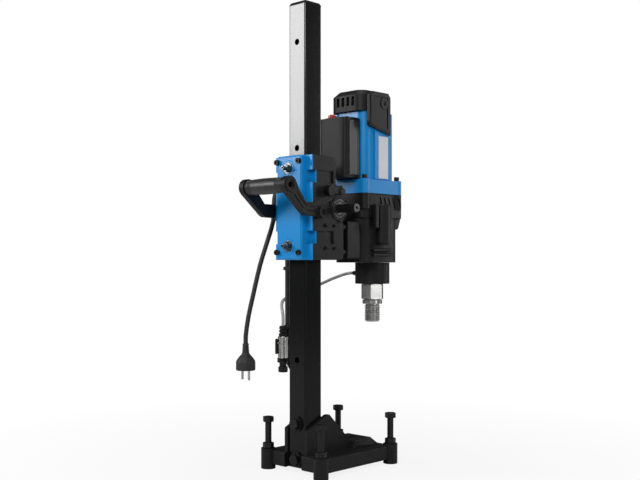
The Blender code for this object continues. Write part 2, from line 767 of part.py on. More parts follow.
def carry_handle(shop):
    outline = arc(ARM_BOLT, ARM_EYE_R, -140, 75, 9)
    outline += [(-0.034, ARM_TOP_Z), (-0.059, ARM_TOP_Z), (-0.0762, 0.5255)]
    outline += arc(GRIP, ARM_RING_R, 20, 230, 9)
    outline += [(-0.064, ARM_LOW_Z + 0.0035), (-0.058, ARM_LOW_Z)]
    for side, hand in ((-1, "left"), (1, "right")):
        span = sorted(side * x for x in ARM_X)
        arm = shop.flat([outline], *span, axis="X")
        shop.cut(arm, shop.rod(0.005 + GAP, span[0] - 0.01, span[1] + 0.01, ARM_BOLT, "X", sides=10))
        shop.cut(arm, shop.rod(0.006, span[0] - 0.01, span[1] + 0.01, GRIP, "X", sides=6))
        shop.finish(arm, f"handle_arm_{hand}", "black_plastic")
        face = side * ARM_X[1] + side * GAP
        bolt = socket_screw(shop, 0.005, 0.0105, 0.004, 0.028, ARM_BOLT, "X", face, -side, sides=20)
        shop.finish(bolt, f"handle_bolt_{hand}", "black_steel")
    inner = ARM_X[0] - GAP
    grip = shop.rod(GRIP_R, -inner, inner, GRIP, "X", sides=18)
    shop.finish(grip, "handle_grip", "black_plastic", smooth=True)


def motor_bracket(shop):
    """The arm that carries the drill on the carriage's front."""
    back = CAR_FRONT + GAP
    z0, z1 = BRACKET_Z
    body = shop.box((-BRACKET_HALF_X, back, z0), (BRACKET_HALF_X, GEARBOX_REAR - GAP, z1), bevel=0.002)
    recess = BRACKET_SCREW_X - BRACKET_HEAD_R - GAP
    room = recess - 0.004
    shop.cut(body, shop.box((-room, back + 0.012, z0 + 0.014), (room, GEARBOX_REAR - 0.012, z1 + 0.02)))
    ledge = back + BRACKET_LEDGE
    for side in (-1, 1):
        span = sorted((side * recess, side * 0.06))
        shop.cut(body, shop.box((span[0], ledge, z0 - 0.01), (span[1], ledge + 0.012, z1 + 0.01)))
        for z in BRACKET_SCREWS_Z:
            at = (side * BRACKET_SCREW_X, z)
            hole = shop.rod(M8_R + GAP, back - 0.01, ledge + 0.002, at, "Y", sides=12)
            shop.cut(body, hole)
    shop.finish(body, "motor_bracket", "black_casting")
    for level, z in zip(("lower", "upper"), BRACKET_SCREWS_Z):
        at = (BRACKET_SCREW_X, z)
        screw = socket_screw(shop, M8_R, BRACKET_HEAD_R, 0.007, 0.030, at, "Y", ledge + GAP, -1)
        shop.finish(screw, f"bracket_screw_{level}", "black_steel")


# ---------------------------------------------------------------- drill


def gearbox_housing(shop):
    """The gear case, open at the top where the motor sits on it."""
    x, low, top = GEARBOX_HALF_X, GEARBOX_LOW, MOTOR_Z[0] - GAP
    neck = COLLAR_R + 0.008
    outer = shop.flat([rounded((-x, GEARBOX_REAR), (x, GEARBOX_FRONT), 0.020)], GEARBOX_WAIST, top)
    waist = rounded((-x + 0.004, GEARBOX_REAR), (x - 0.004, SPINDLE_Y + neck), 0.034)
    shop.join(outer, shop.flat([waist], low, GEARBOX_WAIST + 0.002))
    wall = GEARBOX_WALL
    room = rounded((-x + wall, GEARBOX_REAR + wall), (x - wall, GEARBOX_FRONT - wall), 0.016)
    shop.cut(outer, shop.flat([room], GEARBOX_WAIST + 0.004, top + 0.01))
    wide = x - GEARBOX_WALL - 0.0015
    lower = rounded((-wide, GEARBOX_REAR + 0.012), (wide, SPINDLE_Y + neck - 0.010), 0.022)
    shop.cut(outer, shop.flat([lower], low + 0.020, GEARBOX_WAIST + 0.01))
    shop.cut(outer, shop.rod(SPINDLE_R + GAP, low - 0.01, low + 0.03, (0, SPINDLE_Y), sides=24))
    for px, py in FLANGE_SCREWS:
        for side in (-1, 1):
            at = (side * px, py)
            shop.join(outer, shop.rod(0.0095, top - 0.030, top, at, sides=16))
    for px, py in FLANGE_SCREWS:
        for side in (-1, 1):
            shop.cut(outer, shop.rod(0.003 + GAP, top - 0.022, top + 0.01, (side * px, py), sides=10))
    # Cooling slots below the motor flange, cut in slanting from both sides.
    for i in range(5):
        y = SPINDLE_Y - 0.034 + 0.013 * i
        high, foot = top - 0.006, top - 0.026
        fin = [(y, high), (y + 0.004, high), (y + 0.010, foot), (y + 0.006, foot)]
        shop.cut(outer, shop.flat([fin], x - 0.0025, x + 0.01, axis="X"))
        shop.cut(outer, shop.flat([fin], -x - 0.01, -x + 0.0025, axis="X"))
    return shop.finish(outer, "gearbox_housing", "black_casting")


def centre_distance(a, b):
    return GEAR_MODULE * (a + b) / 2


def idler_at():
    """The idler stands to the left, where it meets both the output gear and the motor pinion."""
    low = centre_distance(GEAR_TEETH, IDLER_TEETH)
    high = centre_distance(IDLER_WHEEL, MOTOR_PINION)
    apart = SPINDLE_Y - MOTOR_Y
    along = (low**2 - high**2 + apart**2) / (2 * apart)
    return -math.sqrt(low**2 - along**2), SPINDLE_Y - along


def mesh_phase(teeth, at, other_teeth, other_at, other_phase):
    """The angle of a tooth that puts a gap of this gear on the other gear's tooth line."""
    dx, dy = other_at[0] - at[0], other_at[1] - at[1]
    towards = math.atan2(dy, dx)
    step = 2 * math.pi / other_teeth
    offset = ((towards + math.pi - other_phase) / step) % 1.0
    return towards + math.pi / teeth + offset * 2 * math.pi / teeth


def spindle(shop):
    """The hollow output spindle: gear, bearing seat, hexagon and 1 1/4 inch thread."""
    low = SPINDLE_TIP
    first = low + 0.002
    crest, root = THREAD_R, THREAD_R - 0.0022
    top = GEAR_Z[1] + 0.012
    profile = [(0.0, top), (SPINDLE_R, top), (SPINDLE_R, HEX_Z[1]), (NUT_R, HEX_Z[1])]
    profile += [(NUT_R, HEX_Z[0] - 0.010), (root, HEX_Z[0] - 0.010)]
    for i in reversed(range(THREADS)):
        z = first + i * THREAD_PITCH
        profile += [(root, z + THREAD_PITCH * 0.95), (crest, z + THREAD_PITCH * 0.45)]
    profile += [(root, first - 0.001), (root - 0.001, low), (0.0, low)]
    body = shop.turned(profile, (0, SPINDLE_Y, 0), steps=18)
    shop.join(body, shop.rod(HEX_R, *HEX_Z, (0, SPINDLE_Y), sides=6, turn=0.2))
    outline = gear_outline(GEAR_TEETH, GEAR_MODULE, GEAR_ADD, GEAR_DED, RUN, phase=-math.pi / 2)
    wheel = [(u, SPINDLE_Y + v) for u, v in outline]
    shop.join(body, shop.flat([wheel], *GEAR_Z))
    shop.cut(body, shop.rod(WATERWAY_R, low - 0.01, COLLAR_Z[1], (0, SPINDLE_Y), sides=20))
    shop.finish(body, "spindle", "bright_steel", smooth=True)


def gear_train(shop):
    x, y = idler_at()
    phase = mesh_phase(IDLER_TEETH, (x, y), GEAR_TEETH, (0, SPINDLE_Y), -math.pi / 2)
    small = gear_outline(IDLER_TEETH, GEAR_MODULE, GEAR_ADD, GEAR_DED, RUN, phase=phase)
    body = shop.rod(0.005, GEARBOX_LOW + 0.020 + GAP, IDLER_WHEEL_Z[1] + 0.010, (x, y), sides=16)
    teeth = [(x + u, y + v) for u, v in small]
    shop.join(body, shop.flat([teeth], GEAR_Z[0] - 0.002, GEAR_Z[1] + 0.003))
    large = gear_outline(IDLER_WHEEL, GEAR_MODULE, GEAR_ADD, GEAR_DED, RUN, phase=phase)
    shop.join(body, shop.flat([[(x + u, y + v) for u, v in large]], *IDLER_WHEEL_Z))
    shop.finish(body, "idler_gear", "bright_steel")
    ax, ay = MOTOR_AXIS
    turn = mesh_phase(MOTOR_PINION, (ax, ay), IDLER_WHEEL, (x, y), phase)
    pinion = gear_outline(MOTOR_PINION, GEAR_MODULE, GEAR_ADD, GEAR_DED, RUN, phase=turn)
    top = MOTOR_Z[1] - 0.010
    shaft = shop.rod(0.0040, IDLER_WHEEL_Z[0] - 0.001, top, (ax, ay), sides=16)
    teeth = [(ax + u, ay + v) for u, v in pinion]
    shop.join(shaft, shop.flat([teeth], IDLER_WHEEL_Z[0] - 0.002, IDLER_WHEEL_Z[1] + 0.004))
    shop.join(shaft, shop.rod(ROTOR_R, *ROTOR_Z, (ax, ay), sides=20))
    shop.join(shaft, shop.rod(0.012, 0.648, 0.668, (ax, ay), sides=20))
    shop.join(shaft, shop.rod(0.027, 0.553, 0.556, (ax, ay), sides=20))
    for i in range(8):
        a = 2 * math.pi * i / 8
        blade = shop.box((-0.008, -0.001, 0.555), (0.008, 0.001, 0.566))
        blade.location.x = ax + 0.018 * math.cos(a)
        blade.location.y = ay + 0.018 * math.sin(a)
        blade.rotation_euler = (0, 0, a)
        shop.join(shaft, blade)
    shop.finish(shaft, "armature", "bright_steel", smooth=True)


def stator(shop):
    at = MOTOR_AXIS
    bore = ROTOR_R + AIR_GAP
    low, high = ROTOR_Z[0] + 0.005, ROTOR_Z[1] - 0.004
    body = ring(shop, bore, 0.028, low, high, at, sides=24)
    for side in (-1, 1):
        middle = at[0] + side * 0.024
        corner = (middle - 0.006, at[1] - 0.016, low - 0.006)
        shop.join(body, shop.box(corner, (middle + 0.006, at[1] + 0.016, high + 0.007)))
    shop.cut(body, shop.rod(bore, 0.5, 0.7, at, sides=24))
    shop.finish(body, "field_coil", "copper")


def motor_housing(shop):
    """The blue motor case, open at the top and bottom, with a flange on the gearbox."""
    hx, hy = MOTOR_HALF
    z0, z1 = MOTOR_Z
    y0, y1 = MOTOR_Y - hy, MOTOR_Y + hy
    body = shop.flat([rounded((-hx, y0), (hx, y1), MOTOR_R, 5)], z0, z1)
    flange = rounded((-0.052, GEARBOX_REAR - 0.002), (0.052, 0.2275), 0.012)
    shop.join(body, shop.flat([flange], z0, z0 + FLANGE_T))
    wall = MOTOR_WALL
    room = rounded((-hx + wall, y0 + wall), (hx - wall, y1 - wall), MOTOR_R - wall, 5)
    # The screw heads stand in pockets, so the flange is cut round them from above.
    shop.cut(body, shop.flat([room], z0 + 0.012, z1 + 0.01))
    shop.cut(body, shop.rod(0.012, z0 - 0.01, z0 + 0.02, MOTOR_AXIS, sides=24))
    for px, py in FLANGE_SCREWS:
        for side in (-1, 1):
            at = (side * px, py)
            shop.join(body, shop.rod(0.0095, z0, z0 + FLANGE_T + 0.001, at, sides=16))
            shop.cut(body, shop.rod(0.003 + GAP, z0 - 0.01, z0 + FLANGE_T + 0.01, at, sides=10))
    return shop.finish(body, "motor_housing", "blue_paint")


def flange_screws(shop):
    for name, at in zip(("rear", "front"), FLANGE_SCREWS):
        seat = MOTOR_Z[0] + FLANGE_T + 0.001 + GAP
        screw = socket_screw(shop, 0.003, 0.0052, 0.008, 0.046, at, "Z", seat, -1)
        shop.finish(screw, f"flange_screw_{name}", "black_steel")


def motor_cap(shop):
    """The vented top cap, an open-bottomed shell over the brushes and the top bearing."""
    hx = MOTOR_HALF[0]
    z0, z1 = MOTOR_Z[1] + GAP, CAP_Z
    y0, y1 = CAP_Y
    middle, deep = (y0 + y1) / 2, (y1 - y0) / 2
    body = shop.flat([rounded((-hx, y0), (hx, y1), MOTOR_R, 5)], z0, z1 - 0.010)
    inset = 0.010
    top = shop.flat([rounded((-hx, y0), (hx, y1), MOTOR_R, 5)], z1 - 0.0105, z1)
    for vert in top.data.vertices:
        if vert.co.z > 0:
            vert.co.x *= (hx - inset) / hx
            vert.co.y = middle + (vert.co.y - middle) * (deep - inset) / deep
    shop.join(body, top)
    wall = 0.003
    room = rounded((-hx + wall, y0 + wall), (hx - wall, y1 - wall), MOTOR_R - wall, 5)
    shop.cut(body, shop.flat([room], z0 - 0.01, z1 - 0.011))
    for i in range(4):
        x = -0.0195 + 0.013 * i
        low = (x - 0.0035, y0 - 0.01, z0 + 0.010)
        shop.cut(body, shop.box(low, (x + 0.0035, y0 + 0.01, z0 + 0.028)))
        y = middle - 0.020 + 0.013 * i
        low = (-hx - 0.01, y - 0.0035, z0 + 0.010)
        shop.cut(body, shop.box(low, (-hx + 0.01, y + 0.0035, z0 + 0.028)))
    spider = shop.box((-0.010, y0 + 0.001, z0 + 0.0002), (0.010, y1 - 0.001, z0 + 0.004))
    shop.join(body, spider)
    return shop.finish(body, "motor_top_cap", "black_plastic")


def front_cover(shop):
    """The black cover over the front of the motor's right side, cut off on a slant below."""
    x0 = MOTOR_HALF[0] + GAP
    lines = [
        (COVER_Y[0], COVER_Z[0] + 0.015),
        (COVER_Y[1], COVER_Z[0]),
        (COVER_Y[1], COVER_Z[1] - 0.008),
        (COVER_Y[1] - 0.007, COVER_Z[1]),
        (COVER_Y[0] + 0.008, COVER_Z[1]),
        (COVER_Y[0], COVER_Z[1] - 0.007),
    ]
    body = shop.flat([lines], x0, x0 + 0.007, axis="X")
    hole = (MOTOR_Y + 0.001, COVER_Z[1] - 0.021)
    shop.cut(body, shop.rod(0.0022, x0 + 0.003, x0 + 0.02, hole, "X", sides=10))
    shop.finish(body, "side_cover", "black_plastic")


def control_box(shop):
    y0, y1 = BOX_Y
    z0, z1 = BOX_Z
    x = BOX_HALF_X
    plan = rounded((-x, y0), (x, y1), 0.008, 4)
    body = shop.flat([plan], z0, z1)
    inner = rounded((-x + 0.003, y0 + 0.003), (x - 0.003, y1 - 0.003), 0.005, 3)
    shop.cut(body, shop.flat([inner], z0 - 0.01, z1 - 0.003))
    button = (-0.018, y0 + 0.020)
    shop.cut(body, shop.rod(0.0085 + GAP, z1 - 0.01, z1 + 0.01, button, sides=20))
    exit_at = (LEAD_EXIT[1], LEAD_EXIT[2])
    shop.cut(body, shop.rod(CORD_R + 0.0015 + GAP, -x - 0.01, -x + 0.02, exit_at, "X", sides=16))
    shop.finish(body, "control_box", "black_plastic")
    lid = shop.flat([inner_lid()], z0 + 0.0005, z0 + 0.003)
    shop.finish(lid, "control_box_lid", "black_plastic")
    button_r = 0.0085
    profile = [(0.0, 0.010), (0.005, 0.0095), (button_r, 0.007), (button_r, -0.004), (0.0, -0.004)]
    knob = shop.turned(profile, (*button, z1), steps=20)
    shop.finish(knob, "switch_button", "red_plastic", smooth=True)
    relief = shop.rod(CORD_R + 0.0015, -x - RELIEF, -x + 0.006, exit_at, "X", sides=16, name="relief")
    shop.join(relief, shop.rod(0.0085, -x - 0.003, -x - GAP, exit_at, "X", sides=16))
    shop.finish(relief, "strain_relief", "rubber")


def inner_lid():
    x = BOX_HALF_X - 0.003 - GAP
    return rounded((-x, BOX_Y[0] + 0.003 + GAP), (x, BOX_Y[1] - 0.003 - GAP), 0.0048, 3)


def water_collar(shop):
    z0, z1 = COLLAR_Z
    top = GEARBOX_LOW - GAP
    body = ring(shop, SPINDLE_R + GAP, COLLAR_R, z0, top, (0, SPINDLE_Y), sides=24, outer_sides=32)
    nipple = (SPINDLE_Y, NIPPLE_Z)
    shop.join(body, shop.rod(0.008, -COLLAR_R - 0.006, -0.028, nipple, "X", sides=16))
    shop.join(body, shop.rod(0.0045, -COLLAR_R - 0.016, -0.030, nipple, "X", sides=10))
    shop.finish(body, "water_collar", "black_casting", smooth=True)


# ---------------------------------------------------------------- lead, hose and valve


def valve(shop):
    """A ball valve hanging on the hose: body, lever and quick connector."""
    x, y = VALVE_AT
    z0, z1 = VALVE_Z
    profile = [
        (0.0, z1),
        (0.0060, z1),
        (0.0075, z1 - 0.014),
        (0.0075, z1 - 0.020),
        (VALVE_R, z1 - 0.021),
        (VALVE_R, z0 + 0.030),
        (0.0115, z0 + 0.028),
        (0.0115, z0 + 0.020),
        (0.0070, z0 + 0.018),
        (0.0070, z0 + 0.012),
        (0.0095, z0 + 0.010),
        (0.0095, z0),
        (0.0, z0),
    ]
    body = shop.turned(profile, (x, y, 0), steps=VALVE_SIDES)
    shop.finish(body, "valve_body", "bright_steel", smooth=True)
    away = Vector((math.sin(VALVE_TURN), -math.cos(VALVE_TURN), 0.0))
    half = 0.0026
    lever = shop.box((-0.006, -half, z0 + 0.036), (0.006, half, z0 + 0.066), bevel=0.001)
    flat = VALVE_R * math.cos(math.pi / VALVE_SIDES)
    lever.location = Vector((x, y, z0 + 0.051)) + away * (flat + GAP + half)
    lever.rotation_euler = (0, 0, VALVE_TURN)
    shop.finish(lever, "valve_lever", "black_plastic")


def hose(shop):
    x, y = VALVE_AT
    route = [
        (-COLLAR_R - 0.016 - GAP, SPINDLE_Y, NIPPLE_Z),
        (-0.072, 0.193, 0.370),
        (-0.100, 0.176, 0.358),
        (-0.119, 0.140, 0.340),
        (-0.122, 0.095, 0.326),
        (-0.118, 0.060, 0.320),
        (-0.107, 0.041, 0.309),
        (x, y, VALVE_Z[1] + 0.020),
        (x, y, VALVE_Z[1] + GAP),
    ]
    body = shop.tube(smooth_route(route, 0.010), HOSE_R, "water_hose")
    shop.finish(body, "water_hose", "clear_hose", smooth=True)


def mains_lead(shop):
    """The lead: out of the box, round a tied hank, and down to its plug."""
    x0, x1 = HANK_X
    middle = (x0 + x1) / 2
    y0, y1 = HANK_Y
    z0, z1 = HANK_Z
    first = [
        (LEAD_EXIT[0] - RELIEF - GAP, LEAD_EXIT[1], LEAD_EXIT[2]),
        (-0.064, LEAD_EXIT[1], 0.5996),
        (-0.084, 0.101, 0.588),
        (middle + 0.001, 0.100, 0.560),
        (middle, 0.098, 0.530),
        (middle, 0.098, z1 - HANK_FLAT + GAP),
    ]
    lead = shop.tube(smooth_route(first, 0.012), CORD_R, "mains_lead")
    shop.finish(lead, "mains_lead", "rubber", smooth=True)
    radius = (y1 - y0) / 2
    centre_y = (y0 + y1) / 2
    ends = arc((centre_y, z1 - radius), radius, 0, 180, 12)
    ends += arc((centre_y, z0 + radius), radius, 180, 360, 12)
    flat_top = [(u, min(v, z1 - HANK_FLAT)) for u, v in ends]
    hank = shop.flat([flat_top], x0, x1, axis="X")
    hole_r = radius - HANK_WALL
    inner = arc((centre_y, z1 - radius), hole_r, 0, 180, 8)
    inner += arc((centre_y, z0 + radius), hole_r, 180, 360, 8)
    shop.cut(hank, shop.flat([inner], x0 - 0.01, x1 + 0.01, axis="X"))
    shop.finish(hank, "lead_hank", "rubber")
    last = [
        (middle, 0.080, z1 - HANK_FLAT + GAP),
        (middle, 0.0797, 0.517),
        (middle, 0.0705, 0.536),
        (-0.0995, 0.048, 0.545),
        (-0.099, 0.025, 0.535),
        (-0.099, 0.015, 0.510),
        (-0.100, 0.012, 0.476),
        (-0.105, 0.001, 0.438),
        (-0.112, -0.013, 0.389),
        (-0.118, -0.026, 0.330),
        (-0.122, -0.035, 0.287),
        (*PLUG_AT, 0.250),
        (*PLUG_AT, PLUG_TOP + GAP),
    ]
    tail = shop.tube(smooth_route(last, 0.020), CORD_R, "lead_tail")
    shop.finish(tail, "lead_tail", "rubber", smooth=True)


def plug(shop):
    at = PLUG_AT
    profile = [
        (0.0, PLUG_TOP),
        (0.0065, PLUG_TOP),
        (0.0080, PLUG_TOP - 0.018),
        (0.0150, PLUG_TOP - 0.028),
        (0.0190, PLUG_TOP - 0.036),
        (0.0190, PLUG_TOP - 0.052),
        (0.0, PLUG_TOP - 0.052),
    ]
    body = shop.turned(profile, (*at, 0), steps=20)
    for side in (-1, 1):
        pin = (at[0] + side * 0.0095, at[1])
        shop.join(body, shop.rod(0.0024, PLUG_TOP - 0.071, PLUG_TOP - 0.051, pin, sides=10))
    shop.finish(body, "mains_plug", "rubber", smooth=True)


def stand_on_origin(shop, cords):
    """Moves the rig so that the box of all but its lead and hose stands on the origin."""
    bpy.context.view_layer.update()
    graph = bpy.context.evaluated_depsgraph_get()
    corners = []
    for obj in shop.parts.objects:
        if obj.type == "MESH" and obj.name not in cords:
            done = obj.evaluated_get(graph)
            corners += [done.matrix_world @ vert.co for vert in done.data.vertices]
    low = Vector([min(c[k] for c in corners) for k in range(3)])
    high = Vector([max(c[k] for c in corners) for k in range(3)])
    shop.root.location = (-(low.x + high.x) / 2, -(low.y + high.y) / 2, -low.z)


def main():
    clear_scene()
    shop = Shop()
    base_casting(shop)
    column_tube(shop)
    column_cap(shop)
    rack(shop)
    column_bolts(shop)
    levelling_bolts(shop)
    carriage_casting(shop)
    rear_plate(shop)
    plate_screws(shop)
    gib_parts(shop)
    pinion_shaft(shop)
    lock_lever(shop)
    carry_handle(shop)
    motor_bracket(shop)
    gearbox_housing(shop)
    water_collar(shop)
    spindle(shop)
    gear_train(shop)
    stator(shop)
    motor_housing(shop)
    flange_screws(shop)
    motor_cap(shop)
    front_cover(shop)
    control_box(shop)
    valve(shop)
    hose(shop)
    mains_lead(shop)
    plug(shop)
    stand_on_origin(shop, CORDS)


main()
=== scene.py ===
import json
import math

import bpy
from bpy.props import FloatProperty, FloatVectorProperty, IntProperty, PointerProperty
from mathutils import Matrix, Vector


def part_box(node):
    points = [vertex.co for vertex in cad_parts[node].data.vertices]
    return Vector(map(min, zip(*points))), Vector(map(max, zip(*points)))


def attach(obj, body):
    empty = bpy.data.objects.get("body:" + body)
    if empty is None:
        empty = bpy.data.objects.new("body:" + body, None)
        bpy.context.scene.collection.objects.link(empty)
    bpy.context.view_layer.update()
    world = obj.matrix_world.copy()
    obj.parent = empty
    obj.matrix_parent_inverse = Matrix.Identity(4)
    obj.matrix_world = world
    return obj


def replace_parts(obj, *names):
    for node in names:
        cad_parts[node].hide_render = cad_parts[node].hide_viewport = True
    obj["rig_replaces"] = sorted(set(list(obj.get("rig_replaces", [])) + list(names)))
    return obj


bl_info = {
    "name": "Core Drill Rig",
    "version": (1, 0, 0),
    "blender": (4, 5, 0),
    "location": "View3D > Sidebar > Drill Rig",
    "description": "Finishes a core drill rig: castings, column, carriage, drill, lead, hose and stage",
    "category": "Object",
}

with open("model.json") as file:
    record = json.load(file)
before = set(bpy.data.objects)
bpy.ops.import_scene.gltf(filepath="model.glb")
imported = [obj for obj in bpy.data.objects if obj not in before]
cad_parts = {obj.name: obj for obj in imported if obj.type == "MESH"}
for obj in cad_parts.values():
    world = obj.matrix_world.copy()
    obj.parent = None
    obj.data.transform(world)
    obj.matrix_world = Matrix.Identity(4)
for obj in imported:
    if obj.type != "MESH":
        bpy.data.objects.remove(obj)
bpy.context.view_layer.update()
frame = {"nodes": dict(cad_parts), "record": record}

# The column's centre on the floor. Every place below is counted from it.
TUBE_LOW, TUBE_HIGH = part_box("column_tube")
ORIGIN = Vector(((TUBE_LOW.x + TUBE_HIGH.x) / 2, (TUBE_LOW.y + TUBE_HIGH.y) / 2, 0.0))
# The spindle's axis, at the floor.
DRILL_AXIS = (0.0, 0.194, 0.0)
BODY_OF = {node: body for body, nodes in frame["record"]["behaviour"]["bodies"].items() for node in nodes}
SLOT_OF = {part["node"]: part["material_slot"] for part in frame["record"]["subparts"]}


# ---------------- settings


def colour(name, description, value):
    return FloatVectorProperty(
        name=name, description=description, subtype="COLOR", size=3, min=0.0, max=1.0, default=value
    )


def length(name, description, value):
    return FloatProperty(name=name, description=description, unit="LENGTH", min=0.0, default=value)


class RigColours(bpy.types.PropertyGroup):
    casting: colour("Casting", "Satin black paint on the cast parts", (0.0065, 0.0067, 0.0072))
    column: colour("Column", "Smooth black coat on the square column", (0.005, 0.0052, 0.0056))
    blue: colour("Blue", "Gloss paint on the rear plate and the motor case", (0.004, 0.235, 0.600))
    plastic: colour("Plastic", "Moulded black plastic", (0.0065, 0.0065, 0.007))
    oxide: colour("Black oxide", "Blackened screws and shafts", (0.026, 0.026, 0.027))
    steel: colour("Bright steel", "Turned and ground steel", (0.62, 0.62, 0.61))
    bronze: colour("Bronze", "Slide pads and gib", (0.55, 0.38, 0.16))
    copper: colour("Copper", "Motor windings", (0.60, 0.25, 0.10))
    rubber: colour("Rubber", "Mains lead and its plug", (0.012, 0.012, 0.013))
    red: colour("Red", "Switch button", (0.55, 0.015, 0.010))
    hose: colour("Hose", "Clear water hose", (0.72, 0.74, 0.73))
    plate: colour("Blank plate", "The plain sticker plate on the motor", (0.62, 0.66, 0.70))
    floor: colour("Floor", "The pale floor", (0.70, 0.70, 0.70))


class RigSizes(bpy.types.PropertyGroup):
    casting_edge: length("Casting edge", "Rounding of the castings' edges", 0.0011)
    edge: length("Edge", "Rounding of machined edges", 0.0005)
    cord: length("Cord", "Diameter of the mains lead", 0.009)
    hose: length("Hose", "Diameter of the water hose", 0.0064)
    view_height: length("View height", "Height of the camera", 0.399)
    turn_steps: IntProperty(name="Turn steps", description="Sides of a turned piece", min=12, default=48)


# ---------------- materials


class Term:
    """A socket of a material, with arithmetic that adds Math nodes."""

    def __init__(self, look, socket):
        self.look = look
        self.socket = socket

    def math(self, operation, other):
        return self.look.add("ShaderNodeMath", {"operation": operation}, {0: self, 1: other})

    def __add__(self, other):
        return self.math("ADD", other)

    def __sub__(self, other):
        return self.math("SUBTRACT", other)

    def __rsub__(self, other):
        return self * -1.0 + other

    def __mul__(self, other):
        return self.math("MULTIPLY", other)

    __radd__ = __add__
    __rmul__ = __mul__


class Nodes:
    """A node tree, of a material or of the world."""

    def __init__(self, tree):
        self.tree = tree

    def feed(self, node, socket, value):
        target = node.inputs[socket]
        if isinstance(value, Term):
            self.tree.links.new(value.socket, target)
        elif target.type == "RGBA":
            target.default_value = (*value[:3], 1.0)
        else:
            target.default_value = value

    def add(self, kind, settings=None, values=None, out=0):
        """One node: its settings first, then the values or links of its sockets."""
        node = self.tree.nodes.new(kind)
        for name, value in (settings or {}).items():
            if name == "stops":
                ramp = node.color_ramp.elements
                for stop, (at, tone) in zip(ramp, value):
                    stop.position = at
                    stop.color = (tone, tone, tone, 1.0)
            else:
                setattr(node, name, value)
        for socket, value in (values or {}).items():
            self.feed(node, socket, value)
        return Term(self, node.outputs[out])


class Look(Nodes):
    """A material built round one Principled BSDF."""

    def __init__(self, name, **values):
        self.material = bpy.data.materials.new(name)
        self.material.use_nodes = True
        super().__init__(self.material.node_tree)
        self.shader = self.tree.nodes["Principled BSDF"]
        for socket, value in values.items():
            self.feed(self.shader, socket.replace("_", " "), value)

    def place(self, scale=(1, 1, 1)):
        """Object coordinates, scaled."""
        here = self.add("ShaderNodeTexCoord", out="Object")
        return self.add("ShaderNodeMapping", None, {"Vector": here, "Scale": scale})

    def noise(self, scale, detail=2.0, rough=0.5, stretch=(1, 1, 1)):
        values = {"Vector": self.place(stretch), "Scale": scale, "Detail": detail, "Roughness": rough}
        return self.add("ShaderNodeTexNoise", None, values)

    def band(self, term, low, high):
        """0 below low, 1 above high."""
        stops = ((low, 0.0), (high, 1.0))
        return self.add("ShaderNodeValToRGB", {"stops": stops}, {"Fac": term})

    def mix(self, factor, first, second):
        return self.add("ShaderNodeMix", {"data_type": "RGBA"}, {0: factor, 6: first, 7: second}, out=2)

    def bump(self, height, strength, distance):
        values = {"Height": height, "Strength": strength, "Distance": distance}
        self.feed(self.shader, "Normal", self.add("ShaderNodeBump", None, values, out="Normal"))

    def colour(self, value):
        self.feed(self.shader, "Base Color", value)

    def tint(self, term, tone, low, high):
        """The tone, shaded between two factors by a term."""
        self.colour(self.mix(term, shade(tone, low), shade(tone, high)))

    def roughness(self, value):
        self.feed(self.shader, "Roughness", value)


def shade(tone, factor):
    return tuple(min(1.0, c * factor) for c in tone)


def painted_casting(tone):
    """Satin paint over sand-cast metal: a fine pebble, soft pooling and a few rubbed patches."""
    look = Look("painted_casting", Specular_IOR_Level=0.24)
    pooling = look.noise(22.0, 3.0)
    rubbed = look.band(look.noise(95.0, 4.0, 0.65), 0.58, 0.74)
    even = look.mix(pooling, shade(tone, 0.75), shade(tone, 1.35))
    look.colour(look.mix(rubbed * 0.35, even, shade(tone, 2.6)))
    look.roughness(0.40 + pooling * 0.12 - rubbed * 0.06)
    pebble = look.noise(900.0, 2.0, 0.6) + look.noise(260.0, 3.0) * 0.8
    look.bump(pebble, 0.45, 0.00035)
    return look.material


def column_coat(tone):
    """Smooth black coat, polished in long streaks above the carriage and dull with dust below."""
    look = Look("column_coat", Specular_IOR_Level=0.18, Coat_Roughness=0.14, Coat_IOR=1.7)
    height = look.add("ShaderNodeSeparateXYZ", None, {"Vector": look.place()}, out="Z")
    streaks = look.noise(420.0, 3.0, 0.6, stretch=(1, 1, 0.02))
    look.feed(look.shader, "Coat Weight", look.band(height, 0.50, 0.60) * (0.34 + streaks * 0.2))
    cloud = look.noise(9.0, 2.0)
    look.tint(streaks, tone, 0.85, 1.6)
    look.roughness(0.17 + streaks * 0.05 + cloud * 0.05)
    look.bump(streaks * 0.2 + look.noise(1200.0, 1.0) * 0.3, 0.04, 0.0001)
    return look.material


def gloss_paint(tone):
    """Thick blue gloss with a slight orange peel and a hint of the casting beneath."""
    look = Look("gloss_paint", Coat_Weight=0.2, Coat_Roughness=0.14, Specular_IOR_Level=0.25)
    cloud = look.noise(14.0, 2.0)
    look.tint(cloud, tone, 0.92, 1.10)
    look.roughness(0.30 + look.noise(60.0, 2.0) * 0.10)
    look.bump(look.noise(420.0, 2.0) + look.noise(1500.0, 1.0) * 0.25, 0.18, 0.0002)
    return look.material


def moulded_plastic(tone):
    """Spark-eroded texture on black plastic."""
    look = Look("moulded_plastic", Specular_IOR_Level=0.25)
    grain = look.add("ShaderNodeTexVoronoi", None, {"Vector": look.place(), "Scale": 1500.0})
    cloud = look.noise(30.0, 2.0)
    look.tint(cloud, tone, 0.85, 1.30)
    look.roughness(0.44 + cloud * 0.10)
    look.bump(grain, 0.25, 0.00015)
    return look.material


def clouded(name, tone, cloud, tints, rough, grain, bump, **values):
    """Soft clouds in colour and roughness over one fine grain."""
    look = Look(name, **values)
    term = look.noise(*cloud)
    look.tint(term, tone, *tints)
    look.roughness(rough[0] + term * rough[1])
    look.bump(look.noise(*grain), *bump)
    return look.material


